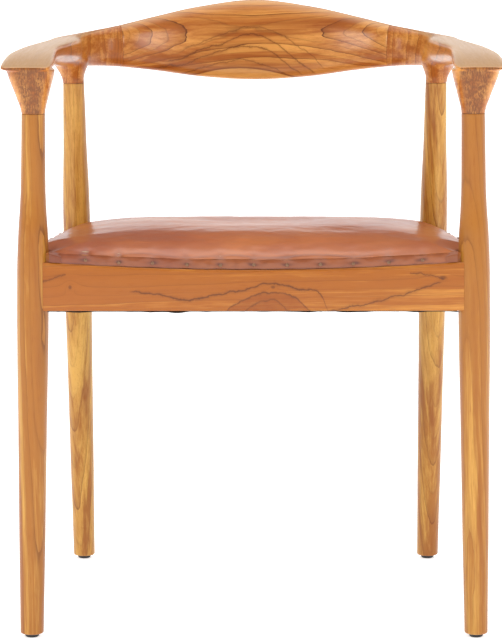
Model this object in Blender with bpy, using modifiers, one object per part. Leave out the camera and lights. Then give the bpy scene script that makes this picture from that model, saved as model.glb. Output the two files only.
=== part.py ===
"""Open-frame teak armchair with a leather seat, modelled piece by piece.

The frame is worked out from the axis of the front legs at Y zero, with the back of the chair at +Y.
Every piece hangs from one empty, which centres the finished chair on the origin.
"""
import math

import bmesh
import bpy
from mathutils import Matrix, Vector

# Fits
FIT = 0.0003                # gap between two pieces that touch
GLUE_ROOM = 0.001           # free depth behind a tenon, nail or screw
OVERRUN = 0.005             # how far a cutter runs past the face it cuts
MERGE = 0.00001             # points closer than this are one point
EASE = 0.0015               # rounding of sawn edges

# Legs: the places of their axes at the floor and at the joints under the arms
FRONT_FOOT_X = 0.276
FRONT_TOP_X = 0.267
FRONT_JOINT_Z = 0.651
BACK_FOOT_X = 0.2372
BACK_FOOT_Y = 0.450
BACK_TOP_X = 0.2408
BACK_TOP_Y = 0.370
BACK_JOINT_Z = 0.662
SEAT_LEVEL = 0.440          # height of the legs' thickest place and of the rails' middle
FRONT_FOOT_R = 0.0146
FRONT_SEAT_R = 0.0197
FRONT_TOP_R = 0.0150
BACK_FOOT_R = 0.0146
BACK_SEAT_R = 0.0184
BACK_TOP_R = 0.0143
FOOT_CHAMFER = 0.0025
LEG_TENON_R = 0.0090
FRONT_TENON_LENGTH = 0.034
BACK_TENON_LENGTH = 0.032

# Shares of the height from floor to seat level, and of the swelling reached there
LOWER_SWELL_SHARES = ((0.0, 0.0), (0.16, 0.18), (0.27, 0.35), (0.5, 0.55), (0.65, 0.70),
                      (0.76, 0.86), (0.88, 0.98))
# The same from seat level to the joint under the arm
FRONT_UPPER_SWELL_SHARES = ((0.0, 1.0), (0.14, 0.95), (0.32, 0.69), (0.45, 0.36), (0.56, 0.16), (0.78, 0.06))
BACK_UPPER_SWELL_SHARES = ((0.0, 1.0), (0.2, 0.95), (0.4, 0.76), (0.62, 0.36), (0.83, 0.18))

# Glides nailed under the feet
GLIDE_R = 0.0088
GLIDE_FLAT_R = 0.0060
GLIDE_HEIGHT = 0.0045
GLIDE_RIM_SHARE = 0.55      # of the height, where the rounding begins
GLIDE_CURVE_SHARE = 0.16    # of the height, halfway round it
GLIDE_NAIL_R = 0.0013
GLIDE_NAIL_LENGTH = 0.014

# Arms and crest rail, one horseshoe from front tip to front tip
ARM_OVERHANG = 0.030        # front tip ahead of the front legs' axis
ARM_TOP_Z = 0.7125          # top over the front leg
BACK_ARM_TOP_Z = 0.7238     # top over the back leg
CREST_TOP_Z = 0.767
ARM_WIDTH = 0.063
BACK_ARM_WIDTH = 0.044
CREST_THICKNESS = 0.027
ARM_HEIGHT = 0.022          # thickness of the paddle
BACK_ARM_HEIGHT = 0.041
CREST_HEIGHT = 0.109
CREST_Y = 0.472             # middle of the crest rail, at its deepest
ARM_SET_OUT = 0.006         # middle of the arm outboard of the leg's axis
CREST_LEAN = math.radians(12)
RING_POINTS = 24
STATION_STEPS = 2
TANGENT_SHARE = 0.01        # of the way between two stations

# Arm stations from the tip to the back leg. Shares: depth (of the overhang where below zero, then of the back
# legs' depth), way inward from front leg to back leg, width of the front paddle, rise of the top from front
# leg to back leg, height of the paddle, part of the height above the edge line, then the two powers that
# square the upper and lower halves.
ARM_STATION_SHARES = (
    (-1.00, 0.00, 0.66, -0.35, 0.52, 0.42, 3.4, 2.6),
    (-0.93, 0.00, 0.85, -0.31, 0.72, 0.42, 3.8, 2.6),
    (-0.72, 0.00, 0.97, -0.22, 0.95, 0.42, 4.2, 2.6),
    (-0.30, 0.00, 1.00, -0.08, 1.10, 0.40, 4.4, 2.6),
    (0.10, -0.03, 1.02, 0.30, 1.12, 0.38, 4.4, 2.4),
    (0.27, 0.03, 0.98, 0.66, 1.00, 0.38, 4.4, 2.4),
    (0.48, 0.27, 0.88, 0.90, 0.98, 0.38, 4.4, 2.4),
    (0.70, 0.58, 0.78, 0.97, 1.14, 0.40, 4.2, 2.5),
    (0.88, 0.85, 0.72, 1.00, 1.50, 0.42, 4.0, 2.7),
)
# Stations from the back leg round the bend to the middle of the crest. Shares: depth from the back leg to the
# crest's deepest place, half spacing of the back legs, way from the arm's width to the crest's thickness,
# rise of the top, growth of the height, lean, upper part, and the two powers.
BEND_STATION_SHARES = (
    (0.00, 1.010, 0.00, 0.00, 0.00, 0.05, 0.43, 3.8, 2.8),
    (0.30, 0.960, 0.35, 0.04, 0.04, 0.20, 0.46, 3.4, 2.8),
    (0.55, 0.870, 0.68, 0.12, 0.10, 0.38, 0.48, 3.0, 2.8),
    (0.725, 0.740, 0.90, 0.25, 0.22, 0.55, 0.50, 2.8, 2.8),
    (0.86, 0.545, 1.00, 0.505, 0.475, 0.78, 0.50, 2.8, 2.8),
    (0.96, 0.300, 1.00, 0.80, 0.80, 0.94, 0.50, 2.8, 2.8),
    (1.00, 0.000, 1.00, 1.00, 1.00, 1.00, 0.50, 2.8, 2.8),
)
JOINT_STATION = len(ARM_STATION_SHARES) + 3      # the bend station where arm and crest rail meet

# Cap over the front leg and knuckle over the back leg: shares of the height and of the flare reached there
CAP_HEIGHT = 0.051
CAP_FLARE = 0.0138
CAP_SHARES = ((0.0, 0.0), (0.15, 0.06), (0.30, 0.23), (0.45, 0.42), (0.72, 0.72), (1.0, 1.0))
KNUCKLE_HEIGHT = 0.024
KNUCKLE_FLARE = 0.0080
KNUCKLE_SHARES = ((0.0, 0.0), (0.3, 0.12), (0.6, 0.42), (0.85, 0.78), (1.0, 1.0))
HEAD_ROOT = 0.008           # how far cap and knuckle run up inside the arm

# Loose tenons between the arms and the crest rail
LOOSE_TENON_LENGTH = 0.050
LOOSE_TENON_HEIGHT = 0.034
LOOSE_TENON_THICKNESS = 0.009

# Seat frame
RAIL_HEIGHT = 0.060         # up to the rails' outer lip
RAIL_BOTTOM_Z = SEAT_LEVEL - RAIL_HEIGHT / 2
LIP_Z = SEAT_LEVEL + RAIL_HEIGHT / 2
UPSTAND = 0.0115            # height of the rebated part above the lip
REBATE = 0.005              # depth of the rebate that takes the leather
RAIL_THICKNESS = 0.022
CROSS_PROUD = 0.015         # front and back rails' outer faces, outside the line of leg axes
SIDE_PROUD = 0.011          # the same for the side rails
SEAT_DISH = 0.009           # dip of the seat frame at its middle
SEAT_SLOPE_SHARE = 0.045    # fall of the seat towards the back, for its depth
TENON_HEIGHT = 0.036
TENON_THICKNESS = 0.010
TENON_PAST_AXIS = 0.003
MORTISE_WALL = 0.0025
RAIL_ARC_STEPS = 14

# Corner blocks and their screws
BLOCK_CLEAR = 0.022         # block starts this far from the inner corner
BLOCK_REACH = 0.062
BLOCK_HEIGHT = 0.030
SCREW_AT = 0.040            # screw's place along the rail from the inner corner
SCREW_SEAT = 0.0155         # head's seat above the rail's inner face
SCREW_STAGGER = 0.006       # the two screws lie this far above and below the middle
SCREW_HEAD_R = 0.0038
SCREW_HEAD_HEIGHT = 0.0022
SCREW_TOP_SHARE = 0.8       # of the head's radius
SCREW_R = 0.0016
SCREW_LENGTH = 0.028
SCREW_POINT = 0.004

# Webbing
STRAP_WIDTH = 0.050
STRAP_THICKNESS = 0.002
STRAP_PITCH = 0.100
STRAP_COUNT = 3
STRAP_INSET = 0.008         # strap ends, inboard of the leather's face
WEAVE_ROOM = 0.003          # flat run of a strap beyond the one it crosses
WEAVE_LIFT = (STRAP_THICKNESS + FIT) / 2    # a strap's way up or down at a crossing

# Seat cover and foam
LEATHER_THICKNESS = 0.0015
SEAT_RISE = 0.0125          # height gained over the rolled edge
SEAT_ROLL = 0.055           # width of the rolled edge
SEAT_CROWN = 0.0165
LEG_ROOM = 0.0022           # leather clear of the legs
EDGE_POINTS = 6
ARC_POINTS = 7
RING_SHARES = (0.022, 0.05, 0.085, 0.13, 0.19, 0.28, 0.45, 0.70)
FOAM_RING_SHARES = (0.06, 0.13, 0.19, 0.28, 0.45, 0.70)
FOAM_ROOM = 0.0018          # foam under the leather

# Gimp and tacks
GIMP_HEIGHT = 0.0110
GIMP_THICKNESS = 0.0012
GIMP_LEG_ROOM = 0.003
TACK_COUNT = 13
TACK_PITCH = 0.041
TACK_R = 0.0036
TACK_DOME = 0.0016
TACK_SHANK_R = 0.0007
TACK_SHANK_LENGTH = 0.011
TACK_POINT = 0.0021
TACK_HEIGHT_SHARE = 0.45    # of the gimp's height

# Dust cover
DUST_THICKNESS = 0.0008
DUST_INSET = 0.0025
DUST_LEG_ROOM = 0.002

TURN_STEPS = 20
SOCKET_STEPS = 16
SMALL_STEPS = 10
SMOOTH_ANGLE = math.radians(35)

# Base colour, roughness and metallic of each material
FINISHES = {
    "teak": ((0.50, 0.22, 0.07), 0.38, 0),
    "leather": ((0.25, 0.065, 0.03), 0.32, 0),
    "nylon": ((0.02, 0.02, 0.02), 0.5, 0),
    "steel": ((0.40, 0.40, 0.42), 0.35, 1),
    "webbing": ((0.30, 0.20, 0.10), 0.9, 0),
    "foam": ((0.80, 0.75, 0.60), 0.9, 0),
    "brass": ((0.12, 0.08, 0.05), 0.4, 1),
    "cloth": ((0.01, 0.01, 0.01), 0.9, 0),
}


def clear_scene():
    for obj in list(bpy.data.objects):
        bpy.data.objects.remove(obj)


def make_collection(name):
    collection = bpy.data.collections.new(name)
    bpy.context.scene.collection.children.link(collection)
    return collection


def add_object(name, data, group):
    obj = bpy.data.objects.new(name, data)
    group.objects.link(obj)
    obj.parent = FRAME
    if group is CUTTERS:
        obj.hide_render = True
        obj.display_type = "WIRE"
    return obj


def finish_piece(obj, finish):
    """Gives a piece its own material and smooth shading."""
    colour, roughness, metallic = FINISHES[finish]
    material = bpy.data.materials.new(f"{obj.name}_{finish}")
    material.use_nodes = True
    shader = material.node_tree.nodes["Principled BSDF"]
    shader.inputs["Base Color"].default_value = (*colour, 1.0)
    shader.inputs["Roughness"].default_value = roughness
    shader.inputs["Metallic"].default_value = metallic
    obj.data.materials.clear()
    obj.data.materials.append(material)
    for polygon in obj.data.polygons:
        polygon.use_smooth = True
    obj.data.set_sharp_from_angle(angle=SMOOTH_ANGLE)
    return obj


def evaluated_mesh(obj):
    bpy.context.view_layer.update()
    depsgraph = bpy.context.evaluated_depsgraph_get()
    return bpy.data.meshes.new_from_object(obj.evaluated_get(depsgraph), depsgraph=depsgraph)


def settle(obj, matrix):
    """Applies an object's modifiers and moves its mesh, which may also shear it."""
    mesh = evaluated_mesh(obj)
    obj.modifiers.clear()
    obj.data = mesh
    mesh.transform(matrix)
    return obj


def mirrored(obj, name, finish):
    """The left-hand twin of a right-hand piece."""
    mesh = evaluated_mesh(obj)
    mesh.transform(Matrix.Scale(-1, 4, (1, 0, 0)))
    mesh.flip_normals()
    return finish_piece(add_object(name, mesh, PARTS), finish)


def weld(mesh):
    """Merges loose seams and turns all faces outwards."""
    bm = bmesh.new()
    bm.from_mesh(mesh)
    bmesh.ops.remove_doubles(bm, verts=bm.verts, dist=MERGE)
    bmesh.ops.recalc_face_normals(bm, faces=bm.faces)
    if bm.calc_volume(signed=True) < 0:
        bmesh.ops.reverse_faces(bm, faces=bm.faces)
    bm.to_mesh(mesh)
    bm.free()


def boolean(obj, other, operation):
    modifier = obj.modifiers.new(other.name, "BOOLEAN")
    modifier.operation = operation
    modifier.object = other
    modifier.solver = "EXACT"


def turned(name, profile, steps, group):
    """A turned solid about Z; the profile's (radius, height) points run down its outer side."""
    mesh = bpy.data.meshes.new(name)
    points = [(radius, 0, height) for radius, height in profile]
    mesh.from_pydata(points, [(i, i + 1) for i in range(len(points) - 1)], [])
    obj = add_object(name, mesh, group)
    screw = obj.modifiers.new("turn", "SCREW")
    screw.steps = steps
    screw.render_steps = steps
    screw.use_merge_vertices = True
    screw.merge_threshold = MERGE
    return obj


def slab(name, outline, thickness, matrix, group):
    """A flat outline in X and Y, given its thickness about its own plane, then placed."""
    curve = bpy.data.curves.new(name, "CURVE")
    curve.dimensions = "2D"
    curve.fill_mode = "BOTH"
    curve.extrude = thickness / 2
    spline = curve.splines.new("POLY")
    spline.points.add(len(outline) - 1)
    for point, (x, y) in zip(spline.points, outline):
        point.co = (x, y, 0, 1)
    spline.use_cyclic_u = True
    shape = bpy.data.objects.new(name, curve)
    bpy.context.scene.collection.objects.link(shape)
    mesh = evaluated_mesh(shape)
    bpy.data.objects.remove(shape)
    weld(mesh)
    mesh.transform(matrix)
    return add_object(name, mesh, group)


def box(name, size, matrix, group):
    bm = bmesh.new()
    bmesh.ops.create_cube(bm, size=1, matrix=matrix @ Matrix.Diagonal((*size, 1)))
    mesh = bpy.data.meshes.new(name)
    bm.to_mesh(mesh)
    bm.free()
    return add_object(name, mesh, group)


def ease_edges(obj):
    bevel = obj.modifiers.new("eased edges", "BEVEL")
    bevel.width = EASE
    bevel.segments = 2
    bevel.limit_method = "ANGLE"
    bevel.angle_limit = SMOOTH_ANGLE


class Leg:
    """The sizes of one right-hand leg."""

    def __init__(self, foot, top, joint_z, radii, upper_shares, tenon_length):
        self.foot = Vector(foot)
        self.top = Vector(top)
        self.joint_z = joint_z
        self.foot_r, self.seat_r, self.top_r = radii
        self.upper_shares = upper_shares
        self.tenon_length = tenon_length

    def axis(self, height):
        """The axis's place in plan at a height."""
        return self.foot + (self.top - self.foot) * (height / self.joint_z)

    def lean(self):
        """Shears an upright turned shape onto the leg's axis, so that its ends stay level."""
        slope = (self.top - self.foot) / self.joint_z
        return Matrix(((1, 0, slope.x, self.foot.x), (0, 1, slope.y, self.foot.y),
                       (0, 0, 1, 0), (0, 0, 0, 1)))

    def side(self, grow=0.0):
        """The body's outer line from the joint down to the foot."""
        upper = [(self.top_r + grow, self.joint_z)]
        for height_share, swell_share in reversed(self.upper_shares):
            height = SEAT_LEVEL + (self.joint_z - SEAT_LEVEL) * height_share
            upper.append((self.top_r + (self.seat_r - self.top_r) * swell_share + grow, height))
        lower = []
        for height_share, swell_share in reversed(LOWER_SWELL_SHARES):
            height = GLIDE_HEIGHT + FOOT_CHAMFER + (SEAT_LEVEL - GLIDE_HEIGHT - FOOT_CHAMFER) * height_share
            lower.append((self.foot_r + (self.seat_r - self.foot_r) * swell_share + grow, height))
        return upper + lower


FRONT_LEG = Leg((FRONT_FOOT_X, 0), (FRONT_TOP_X, 0), FRONT_JOINT_Z,
                (FRONT_FOOT_R, FRONT_SEAT_R, FRONT_TOP_R), FRONT_UPPER_SWELL_SHARES, FRONT_TENON_LENGTH)
BACK_LEG = Leg((BACK_FOOT_X, BACK_FOOT_Y), (BACK_TOP_X, BACK_TOP_Y), BACK_JOINT_Z,
               (BACK_FOOT_R, BACK_SEAT_R, BACK_TOP_R), BACK_UPPER_SWELL_SHARES, BACK_TENON_LENGTH)


# The seat frame, laid out level and then sloped

FRONT_AT_SEAT = FRONT_LEG.axis(SEAT_LEVEL)
BACK_AT_SEAT = BACK_LEG.axis(SEAT_LEVEL)
SLOPE = Matrix(((1, 0, 0, 0), (0, 1, 0, 0), (0, -SEAT_SLOPE_SHARE, 1, 0), (0, 0, 0, 1)))


class RailLine:
    """A line between two leg axes: X along it, Y outwards and Z up in its own frame."""

    def __init__(self, start, end, proud):
        self.start = start
        self.end = end
        self.outer = proud
        self.inner = proud - RAIL_THICKNESS
        self.leather_face = proud - REBATE + FIT + LEATHER_THICKNESS
        self.along = (end - start).normalized()
        self.outward = Vector((-self.along.y, self.along.x))
        self.middle = (start + end) / 2
        self.length = (end - start).length

    def matrix(self):
        return Matrix(((self.along.x, self.outward.x, 0, self.middle.x),
                       (self.along.y, self.outward.y, 0, self.middle.y),
                       (0, 0, 1, 0), (0, 0, 0, 1)))

    def place(self, along, outward):
        """A point in plan, from the line's middle."""
        return self.middle + self.along * along + self.outward * outward

    def crossing(self, other, outward, other_outward):
        """Where two lines parallel to the rail lines meet."""
        a = self.middle + self.outward * outward
        b = other.middle + other.outward * other_outward
        determinant = self.along.x * other.along.y - self.along.y * other.along.x
        gap = b - a
        return a + self.along * ((gap.x * other.along.y - gap.y * other.along.x) / determinant)


def flipped(point):
    return Vector((-point.x, point.y))


FRONT_LINE = RailLine(FRONT_AT_SEAT, flipped(FRONT_AT_SEAT), CROSS_PROUD)
RIGHT_LINE = RailLine(BACK_AT_SEAT, FRONT_AT_SEAT, SIDE_PROUD)
BACK_LINE = RailLine(flipped(BACK_AT_SEAT), BACK_AT_SEAT, CROSS_PROUD)
LEFT_LINE = RailLine(flipped(FRONT_AT_SEAT), flipped(BACK_AT_SEAT), SIDE_PROUD)
SEAT_MIDDLE = Vector((0, (FRONT_AT_SEAT.y + BACK_AT_SEAT.y) / 2))


def half_width(depth):
    """Half the seat opening at a depth, between the side rails' inner faces."""
    way = (depth - FRONT_AT_SEAT.y) / (BACK_AT_SEAT.y - FRONT_AT_SEAT.y)
    return FRONT_AT_SEAT.x + (BACK_AT_SEAT.x - FRONT_AT_SEAT.x) * way + RIGHT_LINE.inner


def lip(x, depth):
    """Height of the rails' lip, which dips towards the middle of the seat."""
    return LIP_Z - SEAT_DISH * max(0.0, 1 - (x / half_width(depth)) ** 2)


def deck(x, depth):
    """Height of the rails' top, where the webbing lies."""
    return lip(x, depth) + UPSTAND


def rail_top_line(line, height_at, start, end):
    """Points (along, height) on the top edge of a rail, or on its lip; only a dished edge needs many."""
    dished = height_at(line.middle.x, line.middle.y) < height_at(line.end.x, line.end.y)
    steps = RAIL_ARC_STEPS if dished else 1
    points = []
    for step in range(steps + 1):
        along = start + (end - start) * step / steps
        place = line.place(along, 0)
        points.append((along, height_at(place.x, place.y)))
    return points


# Pieces

def leg_piece(name, leg, mortises):
    profile = [(0, leg.joint_z + leg.tenon_length), (LEG_TENON_R, leg.joint_z + leg.tenon_length),
               (LEG_TENON_R, leg.joint_z)]
    profile += leg.side()
    profile += [(leg.foot_r - FOOT_CHAMFER, GLIDE_HEIGHT + FIT), (0, GLIDE_HEIGHT + FIT)]
    obj = settle(turned(name, profile, TURN_STEPS, PARTS), leg.lean())
    nail_hole = [(0, GLIDE_HEIGHT + GLIDE_NAIL_LENGTH + GLUE_ROOM),
                 (GLIDE_NAIL_R + FIT, GLIDE_HEIGHT + GLIDE_NAIL_LENGTH + GLUE_ROOM),
                 (GLIDE_NAIL_R + FIT, GLIDE_HEIGHT - OVERRUN), (0, GLIDE_HEIGHT - OVERRUN)]
    hole = settle(turned(f"{name}_nail_hole", nail_hole, SMALL_STEPS, CUTTERS), leg.lean())
    for cutter in (*mortises, hole):
        boolean(obj, cutter, "DIFFERENCE")
    return obj


def glide_piece(name, leg):
    profile = [(0, GLIDE_HEIGHT + GLIDE_NAIL_LENGTH), (GLIDE_NAIL_R, GLIDE_HEIGHT + GLIDE_NAIL_LENGTH),
               (GLIDE_NAIL_R, GLIDE_HEIGHT), (GLIDE_R, GLIDE_HEIGHT)]
    curve_r = mix(GLIDE_FLAT_R, GLIDE_R, math.cos(math.pi / 4))
    profile += [(GLIDE_R, GLIDE_HEIGHT * GLIDE_RIM_SHARE), (curve_r, GLIDE_HEIGHT * GLIDE_CURVE_SHARE),
                (GLIDE_FLAT_R, 0), (0, 0)]
    return settle(turned(name, profile, SMALL_STEPS, PARTS), leg.lean())


def leg_cope(name, leg):
    """The leg's body grown by the fit, which cuts the rails' shoulders."""
    side = leg.side(FIT)
    profile = [(0, side[0][1])] + side + [(0, side[-1][1])]
    return settle(turned(name, profile, TURN_STEPS, CUTTERS), leg.lean())


def mix(start, end, share):
    return start + (end - start) * share


def rail_stations():
    """Every station of the right half: x, y, width, top, height, lean, upper share, upper and lower power."""
    stations = []
    for depth, inward, width, rise, height, upper, square_up, square_down in ARM_STATION_SHARES:
        y = depth * (ARM_OVERHANG if depth < 0 else BACK_TOP_Y)
        x = mix(FRONT_TOP_X, BACK_TOP_X, inward) + ARM_SET_OUT
        stations.append((x, y, width * ARM_WIDTH, mix(ARM_TOP_Z, BACK_ARM_TOP_Z, rise), height * ARM_HEIGHT,
                         0.0, upper, square_up, square_down))
    for depth, across, width, rise, height, lean, upper, square_up, square_down in BEND_STATION_SHARES:
        x = (BACK_TOP_X + ARM_SET_OUT) * across
        stations.append((x, mix(BACK_TOP_Y, CREST_Y, depth), mix(BACK_ARM_WIDTH, CREST_THICKNESS, width),
                         mix(BACK_ARM_TOP_Z, CREST_TOP_Z, rise), mix(BACK_ARM_HEIGHT, CREST_HEIGHT, height),
                         CREST_LEAN * lean, upper, square_up, square_down))
    return stations


def smooth_station(stations, place):
    """A station between two others, on a curve that runs smoothly through all of them."""
    index = min(int(place), len(stations) - 2)
    t = place - index
    before = stations[max(index - 1, 0)]
    after = stations[index + 2] if index + 2 < len(stations) else (-stations[-2][0], *stations[-2][1:])
    result = []
    for a, b, c, d in zip(before, stations[index], stations[index + 1], after):
        result.append(0.5 * (2 * b + (c - a) * t + (2 * a - 5 * b + 4 * c - d) * t * t
                             + (3 * b - a - 3 * c + d) * t ** 3))
    return result


def power(value, exponent):
    return math.copysign(abs(value) ** exponent, value)


def ring(station, tangent):
    """The points of one section, upright and square to the rail's run in plan."""
    x, y, width, top, height, lean, upper, square_up, square_down = station
    outward = Vector((tangent.y, -tangent.x, 0))
    up = Vector((0, 0, 1))
    across_axis = outward * math.cos(lean) - up * math.sin(lean)
    up_axis = up * math.cos(lean) + outward * math.sin(lean)
    high = height * upper
    centre = Vector((x, y, top - high * math.cos(lean)))
    points = []
    for step in range(RING_POINTS):
        angle = 2 * math.pi * step / RING_POINTS
        rise = math.sin(angle)
        square = square_up if rise > 0 else square_down
        reach = high if rise > 0 else height - high
        across = width / 2 * power(math.cos(angle), 2 / square)
        points.append(centre + across_axis * across + up_axis * reach * power(rise, 2 / square))
    return points


def rail_loft(name, first, last, first_shift, last_shift, group):
    """A solid through the stations from first to last; its ends may be shifted along the run."""
    stations = rail_stations()
    count = (last - first) * STATION_STEPS
    bm = bmesh.new()
    rings = []
    for step in range(count + 1):
        place = first + step / STATION_STEPS
        station = smooth_station(stations, place)
        tangent = rail_tangent(stations, place)
        shift = first_shift if step == 0 else last_shift if step == count else 0.0
        station[0] += tangent.x * shift
        station[1] += tangent.y * shift
        rings.append([bm.verts.new(point) for point in ring(station, tangent)])
    for near, far in zip(rings, rings[1:]):
        for i in range(RING_POINTS):
            j = (i + 1) % RING_POINTS
            bm.faces.new((near[i], near[j], far[j], far[i]))
    bm.faces.new(rings[0])
    if last < len(stations) - 1:
        bm.faces.new(rings[-1])
    bmesh.ops.recalc_face_normals(bm, faces=bm.faces)
    mesh = bpy.data.meshes.new(name)
    bm.to_mesh(mesh)
    bm.free()
    return add_object(name, mesh, group)


def rail_tangent(stations, place):
    """The rail's direction in plan, from front to back and round to the middle."""
    before = smooth_station(stations, max(place - TANGENT_SHARE, 0))
    after = smooth_station(stations, min(place + TANGENT_SHARE, len(stations) - 1))
    if place >= len(stations) - 1:
        return Vector((-1, 0, 0))
    return Vector((after[0] - before[0], after[1] - before[1], 0)).normalized()


def joint_matrix():
    """The frame of the joint between arm and crest rail: X along the run."""
    stations = rail_stations()
    x, y, _, top, height, lean, upper, _, _ = stations[JOINT_STATION]
    tangent = rail_tangent(stations, JOINT_STATION)
    outward = Vector((tangent.y, -tangent.x, 0))
    middle = Vector((x, y, top - height / 2))
    up_axis = Vector((0, 0, 1)) * math.cos(lean) + outward * math.sin(lean)
    side_axis = up_axis.cross(tangent)
    return Matrix(((tangent.x, side_axis.x, up_axis.x, middle.x),
                   (tangent.y, side_axis.y, up_axis.y, middle.y),
                   (tangent.z, side_axis.z, up_axis.z, middle.z), (0, 0, 0, 1)))


def leg_head(name, leg, height, flare, shares):
    """The flared part of an arm that stands on a leg."""
    profile = [(0, leg.joint_z + height + HEAD_ROOT), (leg.top_r, leg.joint_z + height + HEAD_ROOT)]
    for height_share, flare_share in reversed(shares):
        profile.append((leg.top_r + flare * flare_share, leg.joint_z + FIT + height * height_share))
    profile.append((0, leg.joint_z + FIT))
    return settle(turned(name, profile, TURN_STEPS, CUTTERS), leg.lean())


def leg_socket(name, leg):
    """The round mortise for a leg's tenon."""
    top = leg.joint_z + leg.tenon_length + GLUE_ROOM
    profile = [(0, top), (LEG_TENON_R + FIT, top), (LEG_TENON_R + FIT, leg.joint_z - OVERRUN),
               (0, leg.joint_z - OVERRUN)]
    return settle(turned(name, profile, SOCKET_STEPS, CUTTERS), leg.lean())


def arm_piece(joint_cutter):
    obj = rail_loft("right_arm", 0, JOINT_STATION, 0.0, -FIT / 2, PARTS)
    boolean(obj, leg_head("cap", FRONT_LEG, CAP_HEIGHT, CAP_FLARE, CAP_SHARES), "UNION")
    boolean(obj, leg_head("knuckle", BACK_LEG, KNUCKLE_HEIGHT, KNUCKLE_FLARE, KNUCKLE_SHARES), "UNION")
    boolean(obj, leg_socket("front_socket", FRONT_LEG), "DIFFERENCE")
    boolean(obj, leg_socket("back_socket", BACK_LEG), "DIFFERENCE")
    boolean(obj, joint_cutter, "DIFFERENCE")
    return obj


def crest_piece(joint_cutter):
    stations = rail_stations()
    obj = rail_loft("crest_rail", JOINT_STATION, len(stations) - 1, FIT / 2, 0.0, PARTS)
    mirror = obj.modifiers.new("left half", "MIRROR")
    mirror.use_axis = (True, False, False)
    mirror.use_clip = True
    mirror.merge_threshold = MERGE
    boolean(obj, joint_cutter, "DIFFERENCE")
    boolean(obj, settle(mirror_cutter(joint_cutter), Matrix.Identity(4)), "DIFFERENCE")
    return obj


def mirror_cutter(cutter):
    mesh = evaluated_mesh(cutter)
    mesh.transform(Matrix.Scale(-1, 4, (1, 0, 0)))
    mesh.flip_normals()
    return add_object(f"left_{cutter.name}", mesh, CUTTERS)


def tenon_box(name, line, end, reach, grow, extra, group):
    """A rail's tenon at one end of its line: reach is measured past the leg's axis."""
    root = RAIL_THICKNESS + CROSS_PROUD
    length = root + reach + extra
    size = (length, TENON_THICKNESS + 2 * grow, TENON_HEIGHT + 2 * grow)
    along = end * (line.length / 2 + reach + extra - length / 2)
    centre = Vector((along, (line.outer + line.inner) / 2, SEAT_LEVEL))
    return box(name, size, SLOPE @ line.matrix() @ Matrix.Translation(centre), group)


def mortise(name, line, end, reach):
    """The cutter for a rail's tenon in a leg."""
    return tenon_box(name, line, end, reach, FIT, GLUE_ROOM, CUTTERS)


def rail_piece(name, line, reach, copes, holes):
    """A seat rail with its rebate, coped to the legs, and with a tenon at each end."""
    half = line.length / 2
    outline = [(-half, RAIL_BOTTOM_Z), (half, RAIL_BOTTOM_Z)]
    outline += rail_top_line(line, deck, half, -half)
    upright = line.matrix() @ Matrix.Translation((0, (line.outer + line.inner) / 2, 0)) \
        @ Matrix.Rotation(math.pi / 2, 4, "X")
    obj = slab(name, outline, RAIL_THICKNESS, SLOPE @ upright, PARTS)
    ease_edges(obj)
    cut = rail_top_line(line, lip, half + OVERRUN, -half - OVERRUN)
    cut += [(-half - OVERRUN, LIP_Z + UPSTAND + OVERRUN), (half + OVERRUN, LIP_Z + UPSTAND + OVERRUN)]
    cutter_depth = REBATE + OVERRUN
    outside = line.matrix() @ Matrix.Translation((0, line.outer - REBATE + cutter_depth / 2, 0)) \
        @ Matrix.Rotation(math.pi / 2, 4, "X")
    boolean(obj, slab(f"{name}_rebate", cut, cutter_depth, SLOPE @ outside, CUTTERS), "DIFFERENCE")
    for cope in copes:
        boolean(obj, cope, "DIFFERENCE")
    for end in (-1, 1):
        boolean(obj, tenon_box(f"{name}_tenon", line, end, reach, 0.0, 0.0, CUTTERS), "UNION")
    for hole in holes:
        boolean(obj, hole, "DIFFERENCE")
    return obj


def corner(front):
    """The two rail lines at a right-hand corner, and the directions away from the leg along them."""
    if front:
        return FRONT_LINE, RIGHT_LINE, FRONT_LINE.along, -RIGHT_LINE.along
    return BACK_LINE, RIGHT_LINE, -BACK_LINE.along, RIGHT_LINE.along


def block_piece(name, front, holes):
    cross, side, cross_way, side_way = corner(front)
    inner = cross.crossing(side, cross.inner - FIT, side.inner - FIT)
    outline = [inner + cross_way * BLOCK_CLEAR, inner + cross_way * BLOCK_REACH,
               inner + side_way * BLOCK_REACH, inner + side_way * BLOCK_CLEAR]
    placed = SLOPE @ Matrix.Translation((0, 0, SEAT_LEVEL))
    obj = slab(name, [(p.x, p.y) for p in outline], BLOCK_HEIGHT, placed, PARTS)
    for hole in holes:
        boolean(obj, hole, "DIFFERENCE")
    return obj


def screw_matrix(front, into_cross):
    """A screw's frame: its head's seat at the origin, Z out of the rail."""
    cross, side, cross_way, side_way = corner(front)
    inner = cross.crossing(side, cross.inner, side.inner)
    line, way = (cross, cross_way) if into_cross else (side, side_way)
    seat = inner + way * SCREW_AT - line.outward * SCREW_SEAT
    height = SEAT_LEVEL + (SCREW_STAGGER if into_cross else -SCREW_STAGGER)
    turn = Vector((-line.outward.x, -line.outward.y, 0)).to_track_quat("Z", "Y").to_matrix().to_4x4()
    return SLOPE @ Matrix.Translation((seat.x, seat.y, height)) @ turn


def screw_piece(name, matrix):
    profile = [(0, SCREW_HEAD_HEIGHT), (SCREW_HEAD_R * SCREW_TOP_SHARE, SCREW_HEAD_HEIGHT), (SCREW_HEAD_R, 0),
               (SCREW_R, 0), (SCREW_R, SCREW_POINT - SCREW_LENGTH), (0, -SCREW_LENGTH)]
    return settle(turned(name, profile, SMALL_STEPS, PARTS), matrix)


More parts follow.
